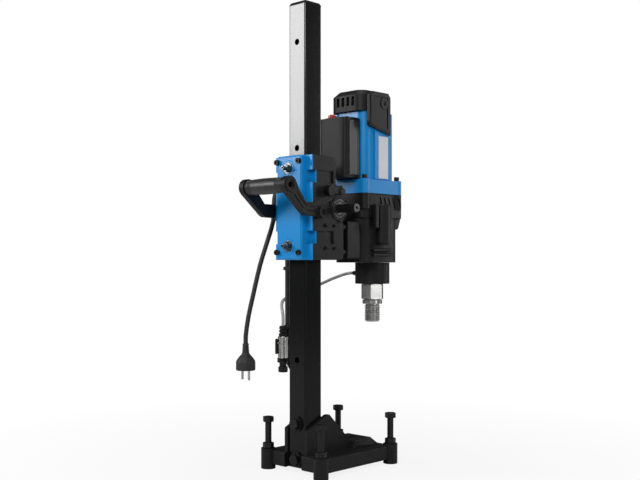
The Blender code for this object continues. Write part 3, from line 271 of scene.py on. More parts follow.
def grip_plastic(tone):
    """Softer plastic on the grip, worn smoother in the middle."""
    grain, bump = (1100.0, 2.0, 0.7), (0.22, 0.00015)
    soft = {"Specular_IOR_Level": 0.5, "Sheen_Weight": 0.15, "Sheen_Roughness": 0.4}
    return clouded("grip_plastic", tone, (45.0, 3.0), (1.1, 1.9), (0.36, 0.14), grain, bump, **soft)


def painted_highlight_panel(tone):
    """A smoother plastic panel, tinted lighter than the box's plastic as a painted highlight."""
    grain, bump = (1300.0, 1.0), (0.08, 0.0001)
    sheen = {"Specular_IOR_Level": 0.6}
    return clouded("painted_highlight_panel", tone, (24.0, 2.0), (2.2, 3.0), (0.30, 0.08), grain, bump, **sheen)


def black_oxide(tone):
    """Blackened steel with a faint brown bloom and rubbed bright flecks."""
    look = Look("black_oxide", Metallic=0.85)
    bloom = look.noise(130.0, 3.0)
    fleck = look.band(look.noise(520.0, 4.0, 0.7), 0.62, 0.80)
    brown = (tone[0] * 1.10, tone[1] * 1.04, tone[2] * 1.00)
    look.colour(look.mix(fleck * 0.5, look.mix(bloom, tone, brown), shade(tone, 4.5)))
    look.roughness(0.34 + bloom * 0.16)
    look.bump(look.noise(1400.0, 1.0), 0.10, 0.0001)
    return look.material


def turned_steel(name, tone, stretch):
    """Bright steel with tool marks across the stretched axis."""
    look = Look(name, Metallic=1.0)
    marks = look.noise(700.0, 3.0, 0.6, stretch=stretch)
    cloud = look.noise(80.0, 2.0)
    look.tint(marks, tone, 0.72, 1.12)
    look.roughness(0.20 + marks * 0.10 + cloud * 0.08)
    look.bump(marks, 0.05, 0.0001)
    return look.material


def bearing_bronze(tone):
    look = Look("bearing_bronze", Metallic=1.0)
    marks = look.noise(500.0, 2.0, 0.5, stretch=(1, 1, 0.05))
    look.tint(marks, tone, 0.8, 1.1)
    look.roughness(0.30 + marks * 0.2)
    return look.material


def copper_winding(tone):
    """Enamelled wire laid side by side, seen as fine ridges."""
    look = Look("copper_winding", Metallic=0.9)
    values = {"Vector": look.place(), "Scale": 900.0, "Distortion": 0.4}
    wires = look.add("ShaderNodeTexWave", {"bands_direction": "Z"}, values)
    look.tint(wires, tone, 0.55, 1.0)
    look.roughness(0.30 + wires * 0.10)
    look.bump(wires, 0.5, 0.0003)
    return look.material


def cord_rubber(tone):
    """Matte rubber with faint drawing marks and dust."""
    look = Look("cord_rubber", Specular_IOR_Level=0.4)
    dust = look.noise(70.0, 4.0, 0.7)
    look.tint(dust, tone, 1.0, 2.4)
    look.roughness(0.50 + dust * 0.14)
    look.bump(look.noise(1000.0, 2.0), 0.20, 0.00015)
    return look.material


def gloss_red(tone):
    grain, bump = (900.0, 1.0), (0.05, 0.0001)
    coat = {"Coat_Weight": 0.3, "Coat_Roughness": 0.1}
    return clouded("gloss_red", tone, (60.0, 2.0), (0.9, 1.1), (0.30, 0.1), grain, bump, **coat)


def clear_hose(tone):
    """Clear soft hose, slightly milky."""
    look = Look("clear_hose", Transmission_Weight=0.55, IOR=1.42)
    milk = look.noise(160.0, 3.0)
    look.tint(milk, tone, 0.9, 1.08)
    look.roughness(0.16 + milk * 0.12)
    return look.material


def blank_film(tone):
    """A plain plastic film, bare of any print."""
    grain, bump = (300.0, 1.0), (0.06, 0.0001)
    coat = {"Coat_Weight": 0.2, "Coat_Roughness": 0.2}
    return clouded("blank_film", tone, (50.0, 2.0), (0.95, 1.03), (0.34, 0.08), grain, bump, **coat)


def shadow_hole():
    """Painted shadow: a near-black matte material for the shaded inside of a socket or a slot."""
    look = Look("shadow_hole", Specular_IOR_Level=0.2)
    cloud = look.noise(300.0, 2.0)
    look.colour(look.mix(cloud, (0.003, 0.003, 0.003), (0.008, 0.008, 0.008)))
    look.roughness(0.7 + cloud * 0.1)
    return look.material


class Finishes:
    """Every finish of the rig, made once from the colours in the settings."""

    def __init__(self, tones):
        self.black_casting = painted_casting(tones.casting)
        self.column_paint = column_coat(tones.column)
        self.blue_paint = gloss_paint(tones.blue)
        self.black_plastic = moulded_plastic(tones.plastic)
        self.grip = grip_plastic(tones.plastic)
        # The box's side panel: the same black plastic, tinted lighter as a painted highlight.
        self.satin_painted_highlight = painted_highlight_panel(tones.plastic)
        self.black_steel = black_oxide(tones.oxide)
        self.bright_steel = turned_steel("ground_steel", tones.steel, (1, 1, 1))
        self.upright_steel = turned_steel("upright_turned_steel", tones.steel, (0.03, 0.03, 1))
        # A copy of the ground steel darkened to 0.30 of its tone: painted shade that dims its reflections.
        self.shaded_steel = turned_steel("shaded_steel", shade(tones.steel, 0.30), (1, 1, 1))
        self.bronze = bearing_bronze(tones.bronze)
        self.copper = copper_winding(tones.copper)
        self.rubber = cord_rubber(tones.rubber)
        self.red_plastic = gloss_red(tones.red)
        self.clear_hose = clear_hose(tones.hose)
        self.film = blank_film(tones.plate)
        self.hole = shadow_hole()


FINISH = {}


def finish(name):
    if "all" not in FINISH:
        FINISH["all"] = Finishes(bpy.context.scene.rig_colours)
    return getattr(FINISH["all"], name)


# ---------------- bench


def at(x, y, z):
    """A place counted from the column's centre on the floor."""
    return ORIGIN + Vector((x, y, z))


def local_box(node):
    """A frame node's corners, counted from the column's centre."""
    low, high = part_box(node)
    return low - ORIGIN, high - ORIGIN


def middle_of(node):
    """The middle of a frame node's box, counted from the column's centre."""
    low, high = local_box(node)
    return Vector((a + b) / 2 for a, b in zip(low, high))


def about(face, side, inward, outward):
    """The ends of a span in x, from inward of a face to outward of it, the lower one first."""
    return sorted((face - side * inward, face + side * outward))


def clear_selection():
    if bpy.context.mode != "OBJECT":
        bpy.ops.object.mode_set(mode="OBJECT")
    bpy.ops.object.select_all(action="DESELECT")


def take(obj):
    """Makes an object the only one selected, and the active one."""
    clear_selection()
    obj.select_set(True)
    bpy.context.view_layer.objects.active = obj
    return obj


def settle(obj):
    """Puts a new object's place, turn and scale into its mesh."""
    take(obj)
    bpy.ops.object.transform_apply(location=True, rotation=True, scale=True)
    return obj


def block(name, low, high):
    """A primitive cube between two corners, counted from the column."""
    clear_selection()
    low, high = at(*low), at(*high)
    bpy.ops.mesh.primitive_cube_add(size=1.0, location=(low + high) / 2)
    obj = bpy.context.active_object
    obj.name = name
    obj.scale = high - low
    return settle(obj)


# Corners sharper than this many degrees stay sharp and get rounded.
SHARP = 32.0
# The rig's two sides: the sign of x there and the word in the names.
SIDES = ((-1, "left"), (1, "right"))
TURN = {"X": (0, math.pi / 2, 0), "Y": (math.pi / 2, 0, 0), "Z": (0, 0, 0)}
ALONG = {"X": Vector((1, 0, 0)), "Y": Vector((0, 1, 0)), "Z": Vector((0, 0, 1))}


def drum(name, radius, start, end, across, axis, sides):
    """A primitive cylinder along an axis. across is its place in the other two directions."""
    clear_selection()
    middle = (start + end) / 2
    spots = {"X": (middle, *across), "Y": (across[0], middle, across[1]), "Z": (*across, middle)}
    bpy.ops.mesh.primitive_cylinder_add(
        vertices=sides, radius=radius, depth=end - start, location=at(*spots[axis]), rotation=TURN[axis]
    )
    obj = bpy.context.active_object
    obj.name = name
    return settle(obj)


def pick_faces(obj, wanted):
    """Enters edit mode with the faces selected whose normals are wanted."""
    take(obj)
    bpy.ops.object.mode_set(mode="EDIT")
    bpy.ops.mesh.select_mode(type="FACE")
    bpy.ops.mesh.select_all(action="DESELECT")
    bpy.ops.object.mode_set(mode="OBJECT")
    for face in obj.data.polygons:
        face.select = wanted(face.normal)
    bpy.ops.object.mode_set(mode="EDIT")


def facing(axis, sign=1):
    """Picks the flat faces that look along an axis, or against it."""
    direction = ALONG[axis] * sign
    return lambda normal: normal.dot(direction) > 0.99


def inset(amount):
    bpy.ops.mesh.inset(thickness=amount, depth=0.0, use_boundary=True, use_even_offset=True)


def push(offset):
    """Extrudes what is selected by an offset."""
    bpy.ops.mesh.extrude_region_move(TRANSFORM_OT_translate={"value": offset})


def leave():
    bpy.ops.object.mode_set(mode="OBJECT")


def sink(obj, rim, offset, axis="X", side=1):
    """Insets the face that looks along an axis by a rim and pushes it by an offset."""
    pick_faces(obj, facing(axis, side))
    inset(rim)
    push(offset)
    leave()


def apply(obj, kind, **settings):
    """Adds a modifier with these settings and applies it."""
    take(obj)
    step = obj.modifiers.new(kind.lower(), kind)
    for name, value in settings.items():
        setattr(step, name, value)
    bpy.ops.object.modifier_apply(modifier=step.name)
    return obj


def round_edges(obj, width, segments=2, angle=SHARP):
    return apply(
        obj,
        "BEVEL",
        width=width,
        segments=segments,
        limit_method="ANGLE",
        angle_limit=math.radians(angle),
        use_clamp_overlap=True,
    )


def turned(name, profile, centre, axis="Z", steps=None):
    """A profile of (radius, height) points, spun about an axis through the centre."""
    clear_selection()
    bpy.ops.mesh.primitive_plane_add(size=0.001, location=at(*centre))
    obj = settle(bpy.context.active_object)
    obj.name = name
    bpy.ops.object.mode_set(mode="EDIT")
    bpy.ops.mesh.select_mode(type="VERT")
    bpy.ops.mesh.select_all(action="SELECT")
    bpy.ops.mesh.merge(type="CENTER")
    along = ALONG[axis]
    out = Vector((1, 0, 0)) if axis == "Z" else Vector((0, 0, 1))
    spots = [out * radius + along * height for radius, height in profile]
    bpy.ops.transform.translate(value=spots[0])
    for before, after in zip(spots, spots[1:]):
        push(after - before)
    bpy.ops.mesh.select_all(action="SELECT")
    count = steps or bpy.context.scene.rig_sizes.turn_steps
    bpy.ops.mesh.spin(steps=count, angle=2 * math.pi, center=at(*centre), axis=along)
    bpy.ops.mesh.select_all(action="SELECT")
    bpy.ops.mesh.remove_doubles(threshold=0.000005)
    bpy.ops.mesh.normals_make_consistent(inside=False)
    leave()
    return obj


def done(obj, look, slot=None, body="carriage", angle=SHARP):
    """Shades a finished piece, gives it its finish, and lets it ride on its body. Its slot is not used."""
    take(obj)
    bpy.ops.object.shade_smooth_by_angle(angle=math.radians(angle))
    apply(obj, "WEIGHTED_NORMAL", mode="FACE_AREA", weight=50, keep_sharp=True)
    obj.data.materials.clear()
    obj.data.materials.append(finish(look))
    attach(obj, body)
    slot or look
    return obj


def ring(name, look, radii, span, soft, centre, axis="X", slot=None, body="carriage"):
    """A flat ring with softened outer edges, between two radii and two heights along an axis."""
    (inner, outer), (low, high) = radii, span
    profile = [(inner, low), (outer - soft, low), (outer, low + soft), (outer, high - soft)]
    profile += [(outer - soft, high), (inner, high), (inner, low)]
    return done(turned(name, profile, centre, axis), look, slot, body)


def socket_screw(name, radius, span, across, rim, depth, axis="X", soft=0.0003, sides=24, body="carriage"):
    """A round screw head along an axis, with a round socket inside its rim."""
    head = drum(name, radius, *span, across, axis, sides)
    sink(head, rim, ALONG[axis] * -depth, axis)
    round_edges(head, soft)
    return done(head, "black_steel", body=body)


def plate(name, look, low, high, rim, offset, soft, side=1, slot=None):
    """A block whose outer side face is inset by a rim and moved by an offset in x."""
    obj = block(name, low, high)
    sink(obj, rim, (offset, 0, 0), side=side)
    round_edges(obj, soft)
    return done(obj, look, slot)


def dress(node, look, width, segments=2, angle=SHARP, shape=None):
    """A frame node's copy with its corners joined and its sharp edges rounded, in its place."""
    mesh = frame["nodes"][node].data.copy()
    obj = bpy.data.objects.new(f"{node}_finished", mesh)
    bpy.context.scene.collection.objects.link(obj)
    take(obj)
    if mesh.has_custom_normals:
        bpy.ops.mesh.customdata_custom_splitnormals_clear()
    bpy.ops.object.mode_set(mode="EDIT")
    bpy.ops.mesh.select_all(action="SELECT")
    bpy.ops.mesh.remove_doubles(threshold=0.00001)
    bpy.ops.mesh.dissolve_limited(angle_limit=math.radians(0.6))
    leave()
    if shape:
        shape(obj)
    if width:
        round_edges(obj, width, segments, angle)
    done(obj, look, SLOT_OF[node], BODY_OF[node])
    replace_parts(obj, node)
    return obj


def turned_about(centre, turn):
    """A turn or mirror about a centre in the scene."""
    return Matrix.Translation(centre) @ turn @ Matrix.Translation(-centre)


def copied(obj, name, move):
    """A copy with a mesh of its own, changed by a matrix, that stands for no frame node."""
    made = obj.copy()
    made.data = obj.data.copy()
    made.name = name
    if "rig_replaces" in made:
        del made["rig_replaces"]
    bpy.context.scene.collection.objects.link(made)
    made.data.transform(move)
    return made


def mirrored(obj, name):
    """A copy turned over in x about the column."""
    made = copied(obj, name, turned_about(ORIGIN, Matrix.Scale(-1, 4, (1, 0, 0))))
    made.data.flip_normals()
    return made


def spread(obj, names, spots):
    """Copies of a piece made at the first spot, one at each of the other spots."""
    first = Vector(spots[0])
    return [obj] + [
        copied(obj, name, Matrix.Translation(Vector(spot) - first)) for name, spot in zip(names, spots[1:])
    ]


class RigOperator:
    """What the steps share."""

    bl_options = {"REGISTER", "UNDO"}

    @property
    def sizes(self):
        return bpy.context.scene.rig_sizes


# ---------------- stand


class RIG_OT_base(RigOperator, bpy.types.Operator):
    """Finish the base casting"""

    bl_idname = "rig.base"
    bl_label = "Base"

    def execute(self, context):
        dress("base_casting", "black_casting", self.sizes.casting_edge)
        return {"FINISHED"}


class RIG_OT_column(RigOperator, bpy.types.Operator):
    """Finish the column, its rack and its cap with the cap's screw"""

    bl_idname = "rig.column"
    bl_label = "Column"

    def execute(self, context):
        edge = self.sizes.edge
        dress("column_tube", "column_paint", edge)
        dress("rack", "black_steel", edge * 0.5, segments=1)
        dress("column_cap", "black_plastic", edge * 1.5)
        top = local_box("column_cap")[1].z
        span = (top - 0.0005, top + 0.0022)
        sides = self.sizes.turn_steps
        socket_screw("cap_screw", 0.0045, span, (0, 0), 0.0022, 0.0016, "Z", 0.0004, sides, "stand")
        return {"FINISHED"}


class RIG_OT_stand_bolts(RigOperator, bpy.types.Operator):
    """Finish the levelling bolts, their lock nuts and the column's bolts"""

    bl_idname = "rig.stand_bolts"
    bl_label = "Stand bolts"

    def execute(self, context):
        edge = self.sizes.edge
        for node in BODY_OF:
            if node.startswith(("levelling_bolt", "lock_nut", "column_bolt")):
                dress(node, "black_steel", edge * 1.4)
        corners = [f"{end}_{side}" for end in ("rear", "front") for side in ("left", "right")]
        spots = [middle_of(f"levelling_bolt_{corner}") for corner in corners]
        sleeve = self.thread(corners[0], spots[0])
        sleeves = spread(sleeve, [f"bolt_thread_{corner}" for corner in corners[1:]], spots)
        for made, corner in zip(sleeves, corners):
            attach(made, f"levelling_bolt_{corner}_body")
        return {"FINISHED"}

    def thread(self, corner, spot):
        """Rings for the thread of one M12 levelling bolt, from inside its base boss to its head."""
        root, crest, inside = 0.00601, 0.00614, 0.0058
        bottom, pitch, head = 0.051, 0.0022, 0.0104
        count = int((local_box(f"levelling_bolt_{corner}")[1].z - head - bottom) / pitch)
        end = bottom + count * pitch
        profile = []
        for i in range(count):
            z = bottom + i * pitch
            profile += [(root, z), (crest, z + pitch * 0.3), (crest, z + pitch * 0.6)]
        profile += [(root, end), (inside, end), (inside, bottom), (root, bottom)]
        sleeve = turned(f"bolt_thread_{corner}", profile, (spot.x, spot.y, 0), steps=28)
        return done(sleeve, "black_steel", body=f"levelling_bolt_{corner}_body")


# ---------------- carriage


class RIG_OT_carriage(RigOperator, bpy.types.Operator):
    """Finish the carriage casting, its bearing rim and screws, its lock lever, pads and gib"""

    bl_idname = "rig.carriage"
    bl_label = "Carriage"

    def execute(self, context):
        dress("carriage_casting", "black_casting", self.sizes.casting_edge)
        dress("carriage_lock_lever", "black_steel", self.sizes.edge * 1.6)
        for node in ("gib_plate", "slide_pad_left", "slide_pad_right"):
            dress(node, "bronze", self.sizes.edge)
        side = local_box("carriage_casting")[1].x
        # A raised ring round the bearing, with three screws on a circle about it.
        _, y, z = middle_of("pinion_bearing_right")
        span = (side - 0.0005, side + 0.0018)
        ring("bearing_rim", "black_casting", (0.0183, 0.0225), span, 0.0006, (0, y, z))
        reach, span = 0.0245, (side - 0.0008, side + 0.0022)
        turns = [math.radians(turn) for turn in (35, 155, 275)]
        spots = [(0, y + reach * math.cos(turn), z + reach * math.sin(turn)) for turn in turns]
        head = socket_screw("bearing_screw_1", 0.0027, span, spots[0][1:], 0.0012, 0.0015)
        spread(head, ("bearing_screw_2", "bearing_screw_3"), spots)
        # Four screws in the casting's side, below the bearing.
        span = (side - 0.0008, side + 0.0024)
        spots = [(0, 0.030, 0.421), (0, 0.030, 0.463), (0, 0.006, 0.463), (0, 0.006, 0.421)]
        head = socket_screw("side_screw_1", 0.0033, span, spots[0][1:], 0.0014, 0.0016)
        spread(head, ("side_screw_2", "side_screw_3", "side_screw_4"), spots)
        return {"FINISHED"}


class RIG_OT_rear_plate(RigOperator, bpy.types.Operator):
    """Finish the blue rear plate with its screws, gib studs and their bosses"""

    bl_idname = "rig.rear_plate"
    bl_label = "Rear plate"

    def execute(self, context):
        edge = self.sizes.edge
        dress("rear_plate", "blue_paint", self.sizes.casting_edge)
        for level in ("lower", "upper"):
            for side in ("left", "right"):
                dress(f"plate_screw_{level}_{side}", "black_steel", edge * 0.8)
            stud = f"gib_stud_{level}"
            # The studs take the darkened steel, as painted shade.
            dress(stud, "shaded_steel", edge * 0.7)
            x, _, z = middle_of(stud)
            face = local_box("rear_plate")[0].y
            span = (face - 0.0012, face + 0.0004)
            ring(f"stud_boss_{level}", "blue_paint", (0.0108, 0.0150), span, 0.0008, (x, 0, z), "Y")
        return {"FINISHED"}


class RIG_OT_pinion(RigOperator, bpy.types.Operator):
    """Finish the pinion shaft with its end ring and circlip, its bearings and seals"""

    bl_idname = "rig.pinion"
    bl_label = "Pinion"

    def execute(self, context):
        dress("pinion_shaft", "black_steel", self.sizes.edge * 0.6, segments=1)
        end = local_box("pinion_shaft")[1].x
        _, y, z = middle_of("pinion_bearing_right")
        centre = (0, y, z)
        for side, hand in SIDES:
            node = f"pinion_bearing_{hand}"
            # The bearings take the darkened steel, as painted shade.
            dress(node, "shaded_steel", self.sizes.edge * 0.6)
            face = local_box(node)[side > 0].x
            span = about(face, side, 0.0011, -0.0003)
            ring(f"bearing_seal_{hand}", "rubber", (0.0127, 0.0150), span, 0.0003, centre)
        # The end ring is ground steel, drawn in the darkened steel as painted shade.
        for name, look, slot, radii, start, stop in (
            ("shaft_end_ring", "shaded_steel", "bright_steel", (0.0028, 0.0080), -0.0002, 0.0010),
            ("shaft_circlip", "black_steel", "black_steel", (0.0084, 0.0098), -0.0060, -0.0048),
        ):
            ring(name, look, radii, (end + start, end + stop), 0.0003, centre, slot=slot, body="pinion")
        return {"FINISHED"}


class RIG_OT_handle(RigOperator, bpy.types.Operator):
    """Finish the carry handle: two ribbed arms, their bolts and the grip"""

    bl_idname = "rig.handle"
    bl_label = "Carry handle"

    def execute(self, context):
        grip_at, eye_at = middle_of("handle_grip"), middle_of("handle_bolt_right")
        grip_at.x = eye_at.x = 0
        elbow, foot = Vector((0, -0.0605, 0.4925)), Vector((0, -0.036, 0.4925))
        # Each run of grooves: from and to where it points, and how far along it starts and ends.
        runs = ((elbow, grip_at, 0.003, 0.036), (elbow, foot, 0.002, 0.0245))
        rings = ((grip_at, 0.0088, 0.0128, "grip_ring"), (eye_at, 0.0108, 0.0128, "eye_ring"))
        for side, hand in SIDES:
            node = f"handle_arm_{hand}"
            face = local_box(node)[side > 0].x
            tools = [
                self.groove_tool(start, end, shift, face, near, far)
                for start, end, near, far in runs
                for shift in (-0.0042, 0.0042)
            ]

            def cut_grooves(obj, tools=tools):
                for tool in tools:
                    apply(obj, "BOOLEAN", operation="DIFFERENCE", object=tool)

            dress(node, "black_plastic", 0.0011, angle=50, shape=cut_grooves)
            for tool in tools:
                bpy.data.objects.remove(tool)
            span = about(face, side, 0.0008, 0.0011)
            for spot, inner, outer, name in rings:
                ring(f"{name}_{hand}", "black_plastic", (inner, outer), span, 0.0004, spot)
            dress(f"handle_bolt_{hand}", "black_steel", self.sizes.edge)
        self.grip()
        return {"FINISHED"}

    def grip(self):
        """The grip: a slight swell between two groups of three grooves."""
        low, high = local_box("handle_grip")
        radius = (high.z - low.z) / 2
        _, y, z = middle_of("handle_grip")
        half = high.x
        grooves = (-half + 0.006, -half + 0.010, -half + 0.014)

        def grooved(places):
            for x in places:
                yield from ((radius * 0.97, x - 0.0012), (radius * 0.91, x), (radius * 0.97, x + 0.0012))

        profile = [(0.0, -half), (radius * 0.90, -half), *grooved(grooves)]
        swell = 8
        for i in range(swell + 1):
            x = -half * 0.66 + half * 1.32 * i / swell
            profile.append((radius * (0.985 + 0.045 * math.cos((i / swell - 0.5) * math.pi)), x))
        profile += [*grooved(-x for x in reversed(grooves)), (radius * 0.90, half), (0.0, half)]
        grip = turned("handle_grip_finished", profile, (0, y, z), axis="X")
        done(grip, "grip", "black_plastic", angle=40)
        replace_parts(grip, "handle_grip")

    def groove_tool(self, start, end, shift, face, near, far):
        """A bar that cuts one groove in an arm's outer face, beside the line from start to end."""
        line = (end - start).normalized()
        tool = block("groove_tool", (-0.0014, near, -0.0009), (0.0014, far, 0.0009))
        across = Vector((0, -line.z, line.y))
        turn = Matrix((Vector((1, 0, 0)), line, across)).transposed().to_4x4()
        spot = Vector((face, 0, 0)) + start + across * shift
        tool.data.transform(Matrix.Translation(at(*spot)) @ turn @ Matrix.Translation(-ORIGIN))
        return tool


class RIG_OT_bracket(RigOperator, bpy.types.Operator):
    """Finish the motor bracket and its screws on both sides"""

    bl_idname = "rig.bracket"
    bl_label = "Motor bracket"

    def execute(self, context):
        dress("motor_bracket", "black_casting", self.sizes.casting_edge)
        for level in ("lower", "upper"):
            right = dress(f"bracket_screw_{level}", "black_steel", self.sizes.edge)
            mirrored(right, f"bracket_screw_{level}_left")
        return {"FINISHED"}


# ---------------- drill


class RIG_OT_gearbox(RigOperator, bpy.types.Operator):
    """Finish the gear case with its side bosses, ribs, beads and gusset, and the water collar"""

    bl_idname = "rig.gearbox"
    bl_label = "Gear case"

    def execute(self, context):
        dress("gearbox_housing", "black_casting", self.sizes.casting_edge)
        dress("water_collar", "black_casting", 0.0010)
        case_high = local_box("gearbox_housing")[1]
        for side, hand in SIDES:
            wall = side * case_high.x
            profile = [(0.0, 0.429), (0.0125, 0.429), (0.0158, 0.434)]
            profile += [(0.0158, 0.507), (0.0140, 0.5094), (0.0, 0.5094)]
            boss = turned(f"gear_case_boss_{hand}", profile, (wall - side * 0.0060, 0.170, 0))
            done(boss, "black_casting")
            near, far = about(wall, side, 0.003, 0.0035)
            low, high = (near, 0.137, 0.462), (far, 0.148, 0.508)
            plate(f"gear_case_rib_{hand}", "black_casting", low, high, 0.0015, side * 0.0012, 0.0008, side)
            for i, z in enumerate((0.4095, 0.4186)):
                spot = (wall - side * 0.0052, z)
                bead = drum(f"gear_case_bead_{hand}_{i + 1}", 0.0034, 0.140, 0.196, spot, "Y", 20)
                round_edges(bead, 0.0015)
                done(bead, "black_casting")
        gusset = block("gear_case_gusset", (-0.038, 0.205, 0.461), (0.038, case_high.y - 0.0006, 0.4842))
        for vertex in gusset.data.vertices:
            if vertex.co.z < 0.47 and vertex.co.y > ORIGIN.y + 0.22:
                vertex.co.y = ORIGIN.y + 0.232
        round_edges(gusset, 0.003, segments=3)
        done(gusset, "black_casting")
        return {"FINISHED"}


class RIG_OT_motor(RigOperator, bpy.types.Operator):
    """Finish the motor case: flange screws, raised side panels and the blank plate"""

    bl_idname = "rig.motor"
    bl_label = "Motor"

    def execute(self, context):
        dress("motor_housing", "blue_paint", self.sizes.casting_edge)
        for end in ("rear", "front"):
            right = dress(f"flange_screw_{end}", "black_steel", self.sizes.edge)
            mirrored(right, f"flange_screw_{end}_left")
        wall = 0.045
        panel_low, panel_high = 0.5585, 0.668
        for side, hand in SIDES:
            near, far = about(side * wall, side, 0.002, 0.0024)
            low, high = (near, 0.1475, panel_low), (far, 0.1935, panel_high)
            panel = block(f"motor_panel_{hand}", low, high)
            # The top edge falls away to the front.
            for vertex in panel.data.vertices:
                if vertex.co.z > panel_high - 0.001 and vertex.co.y > ORIGIN.y + 0.17:
                    vertex.co.z -= 0.024
            sink(panel, 0.0022, (-side * 0.0009, 0, 0), side=side)
            round_edges(panel, 0.0007)
            done(panel, "blue_paint")
        low, high = (wall + 0.0010, 0.1590, 0.5590), (wall + 0.0021, 0.1880, 0.6440)
        plate("blank_plate", "film", low, high, 0.0012, 0.0001, 0.0003, slot="blue_paint")
        return {"FINISHED"}


class RIG_OT_motor_top(RigOperator, bpy.types.Operator):
    """Finish the vented top cap and the side cover"""

    bl_idname = "rig.motor_top"
    bl_label = "Motor top"

    def execute(self, context):
        dress("motor_top_cap", "black_plastic", 0.0009)
        low, high = local_box("motor_top_cap")
        # A near-black block inside the vented cap: painted shadow seen through the vents.
        painted_shadow_block = block(
            "cap_painted_shadow",
            (low.x + 0.0065, low.y + 0.0065, low.z + 0.0075),
            (high.x - 0.0065, high.y - 0.0065, high.z - 0.0120),
        )
        round_edges(painted_shadow_block, 0.017, segments=6)
        done(painted_shadow_block, "hole", "black_plastic")

        def sunk_panel(obj):
            pick_faces(obj, facing("X"))
            inset(0.0030)
            push((0.0010, 0, 0))
            inset(0.0060)
            push((-0.0013, 0, 0))
            leave()

        dress("side_cover", "black_plastic", 0.0006, shape=sunk_panel)
        return {"FINISHED"}


class RIG_OT_control_box(RigOperator, bpy.types.Operator):
    """Finish the control box, its side panel, and the switch button in its bezel"""

    bl_idname = "rig.control_box"
    bl_label = "Control box"

    def execute(self, context):
        dress("control_box", "black_plastic", 0.0008)
        dress("control_box_lid", "black_plastic", 0.0004)
        dress("switch_button", "red_plastic", 0.0006)
        low, high = local_box("control_box")
        near = (high.x - 0.0010, low.y + 0.011, low.z + 0.006)
        far = (high.x + 0.0012, high.y - 0.010, high.z - 0.006)
        # The side panel takes the lighter plastic, a painted highlight of the light it catches.
        plate("control_box_panel", "satin_painted_highlight", near, far, 0.0015, -0.0005, 0.0004, slot="black_plastic")
        x, y, _ = middle_of("switch_button")
        span = (high.z - 0.0004, high.z + 0.0022)
        ring("switch_bezel", "black_plastic", (0.0090, 0.0125), span, 0.0008, (x, y, 0), "Z")
        return {"FINISHED"}


class RIG_OT_spindle(RigOperator, bpy.types.Operator):
    """Make the spindle's nose: hexagon with chamfers, relief and thread, below its gear"""

    bl_idname = "rig.spindle"
    bl_label = "Spindle"

    def execute(self, context):
        seam = local_box("gearbox_housing")[0].z + 0.004

        def keep_top(obj):
            take(obj)
            bpy.ops.object.mode_set(mode="EDIT")
            bpy.ops.mesh.select_all(action="SELECT")
            bpy.ops.mesh.bisect(
                plane_co=at(0, 0, seam), plane_no=(0, 0, 1), use_fill=True, clear_inner=True
            )
            leave()

        top = dress("spindle", "bright_steel", 0.0, shape=keep_top)
        top.name = "spindle_gear"
        nose = turned("spindle_nose", self.nose(seam - 0.0003), DRILL_AXIS, steps=64)
        done(nose, "upright_steel", "bright_steel", body="spindle_body")
        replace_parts(nose, "spindle")
        self.hexagon()
        return {"FINISHED"}

    def nose(self, seam):
        """The spindle below its gear: relief, shoulder and the 1 1/4-7 UNC thread, round a bore."""
        crest, root, bore = 0.015875, 0.0136, 0.0085
        pitch = 0.0254 / 7
        tip = local_box("spindle")[0].z
        shoulder = 0.310
        profile = [(bore, seam), (0.0140, seam), (0.0140, 0.3520), (0.0175, 0.3506), (0.0175, 0.3190)]
        profile += [(0.0200, 0.3175), (0.0200, shoulder + 0.001), (0.0192, shoulder), (root, shoulder)]
        for i in range(int((shoulder - 0.003 - tip) / pitch)):
            z = shoulder - 0.002 - i * pitch
            for radius, share in ((root, 0.10), (crest, 0.44), (crest, 0.60), (root, 0.94)):
                profile.append((radius, z - pitch * share))
        return profile + [(root, tip + 0.0012), (root - 0.0014, tip), (bore, tip), (bore, seam)]

    def hexagon(self):
        """The hexagon for the spanner, with both its ends chamfered."""
        low, high, radius, face = 0.3200, 0.3500, 0.0242, 0.0222
        across = DRILL_AXIS[:2]
        hexagon = drum("spindle_hexagon", 0.0240, low, high, across, "Z", 6)
        turn = Matrix.Rotation(math.radians(-26.3), 4, "Z")
        hexagon.data.transform(turned_about(at(*DRILL_AXIS), turn))
        profile = [(0.0, high), (face, high), (radius, high - 0.0012)]
        profile += [(radius, low + 0.0012), (face, low), (0.0, low)]
        chamfer = turned("hexagon_chamfer", profile, DRILL_AXIS, steps=64)
        apply(hexagon, "BOOLEAN", operation="INTERSECT", object=chamfer)
        bpy.data.objects.remove(chamfer)
        bore_tool = drum("bore_tool", 0.0176, 0.31, 0.36, across, "Z", 64)
        apply(hexagon, "BOOLEAN", operation="DIFFERENCE", object=bore_tool)
        bpy.data.objects.remove(bore_tool)
        round_edges(hexagon, 0.0003, angle=25)
        done(hexagon, "bright_steel", body="spindle_body")


class RIG_OT_inside(RigOperator, bpy.types.Operator):
    """Give the gears, the armature and the winding their metals"""

    bl_idname = "rig.inside"
    bl_label = "Gear train"

    def execute(self, context):
        dress("idler_gear", "bright_steel", 0.0)
        dress("armature", "bright_steel", 0.0)
        dress("field_coil", "copper", self.sizes.edge)
        return {"FINISHED"}


# ---------------- lead, hose and valve


def through(points, spacing):
    """Points along a Catmull-Rom curve through a route's own points, about spacing apart."""
    ends = [Vector(p) for p in (points[0], *points, points[-1])]
    out = []
    for a, b, c, d in zip(ends, ends[1:], ends[2:], ends[3:]):
        count = max(1, round((c - b).length / spacing))
        for i in range(count):
            t = i / count
            bend = 2 * a - 5 * b + 4 * c - d
            out.append(0.5 * (2 * b + (c - a) * t + bend * t**2 + (3 * b - a - 3 * c + d) * t**3))
    return [*out, ends[-1]]


def eased(share):
    """0 to 1 along a half cosine, and flat outside it."""
    return (1 - math.cos(math.pi * min(1, max(0, share)))) / 2


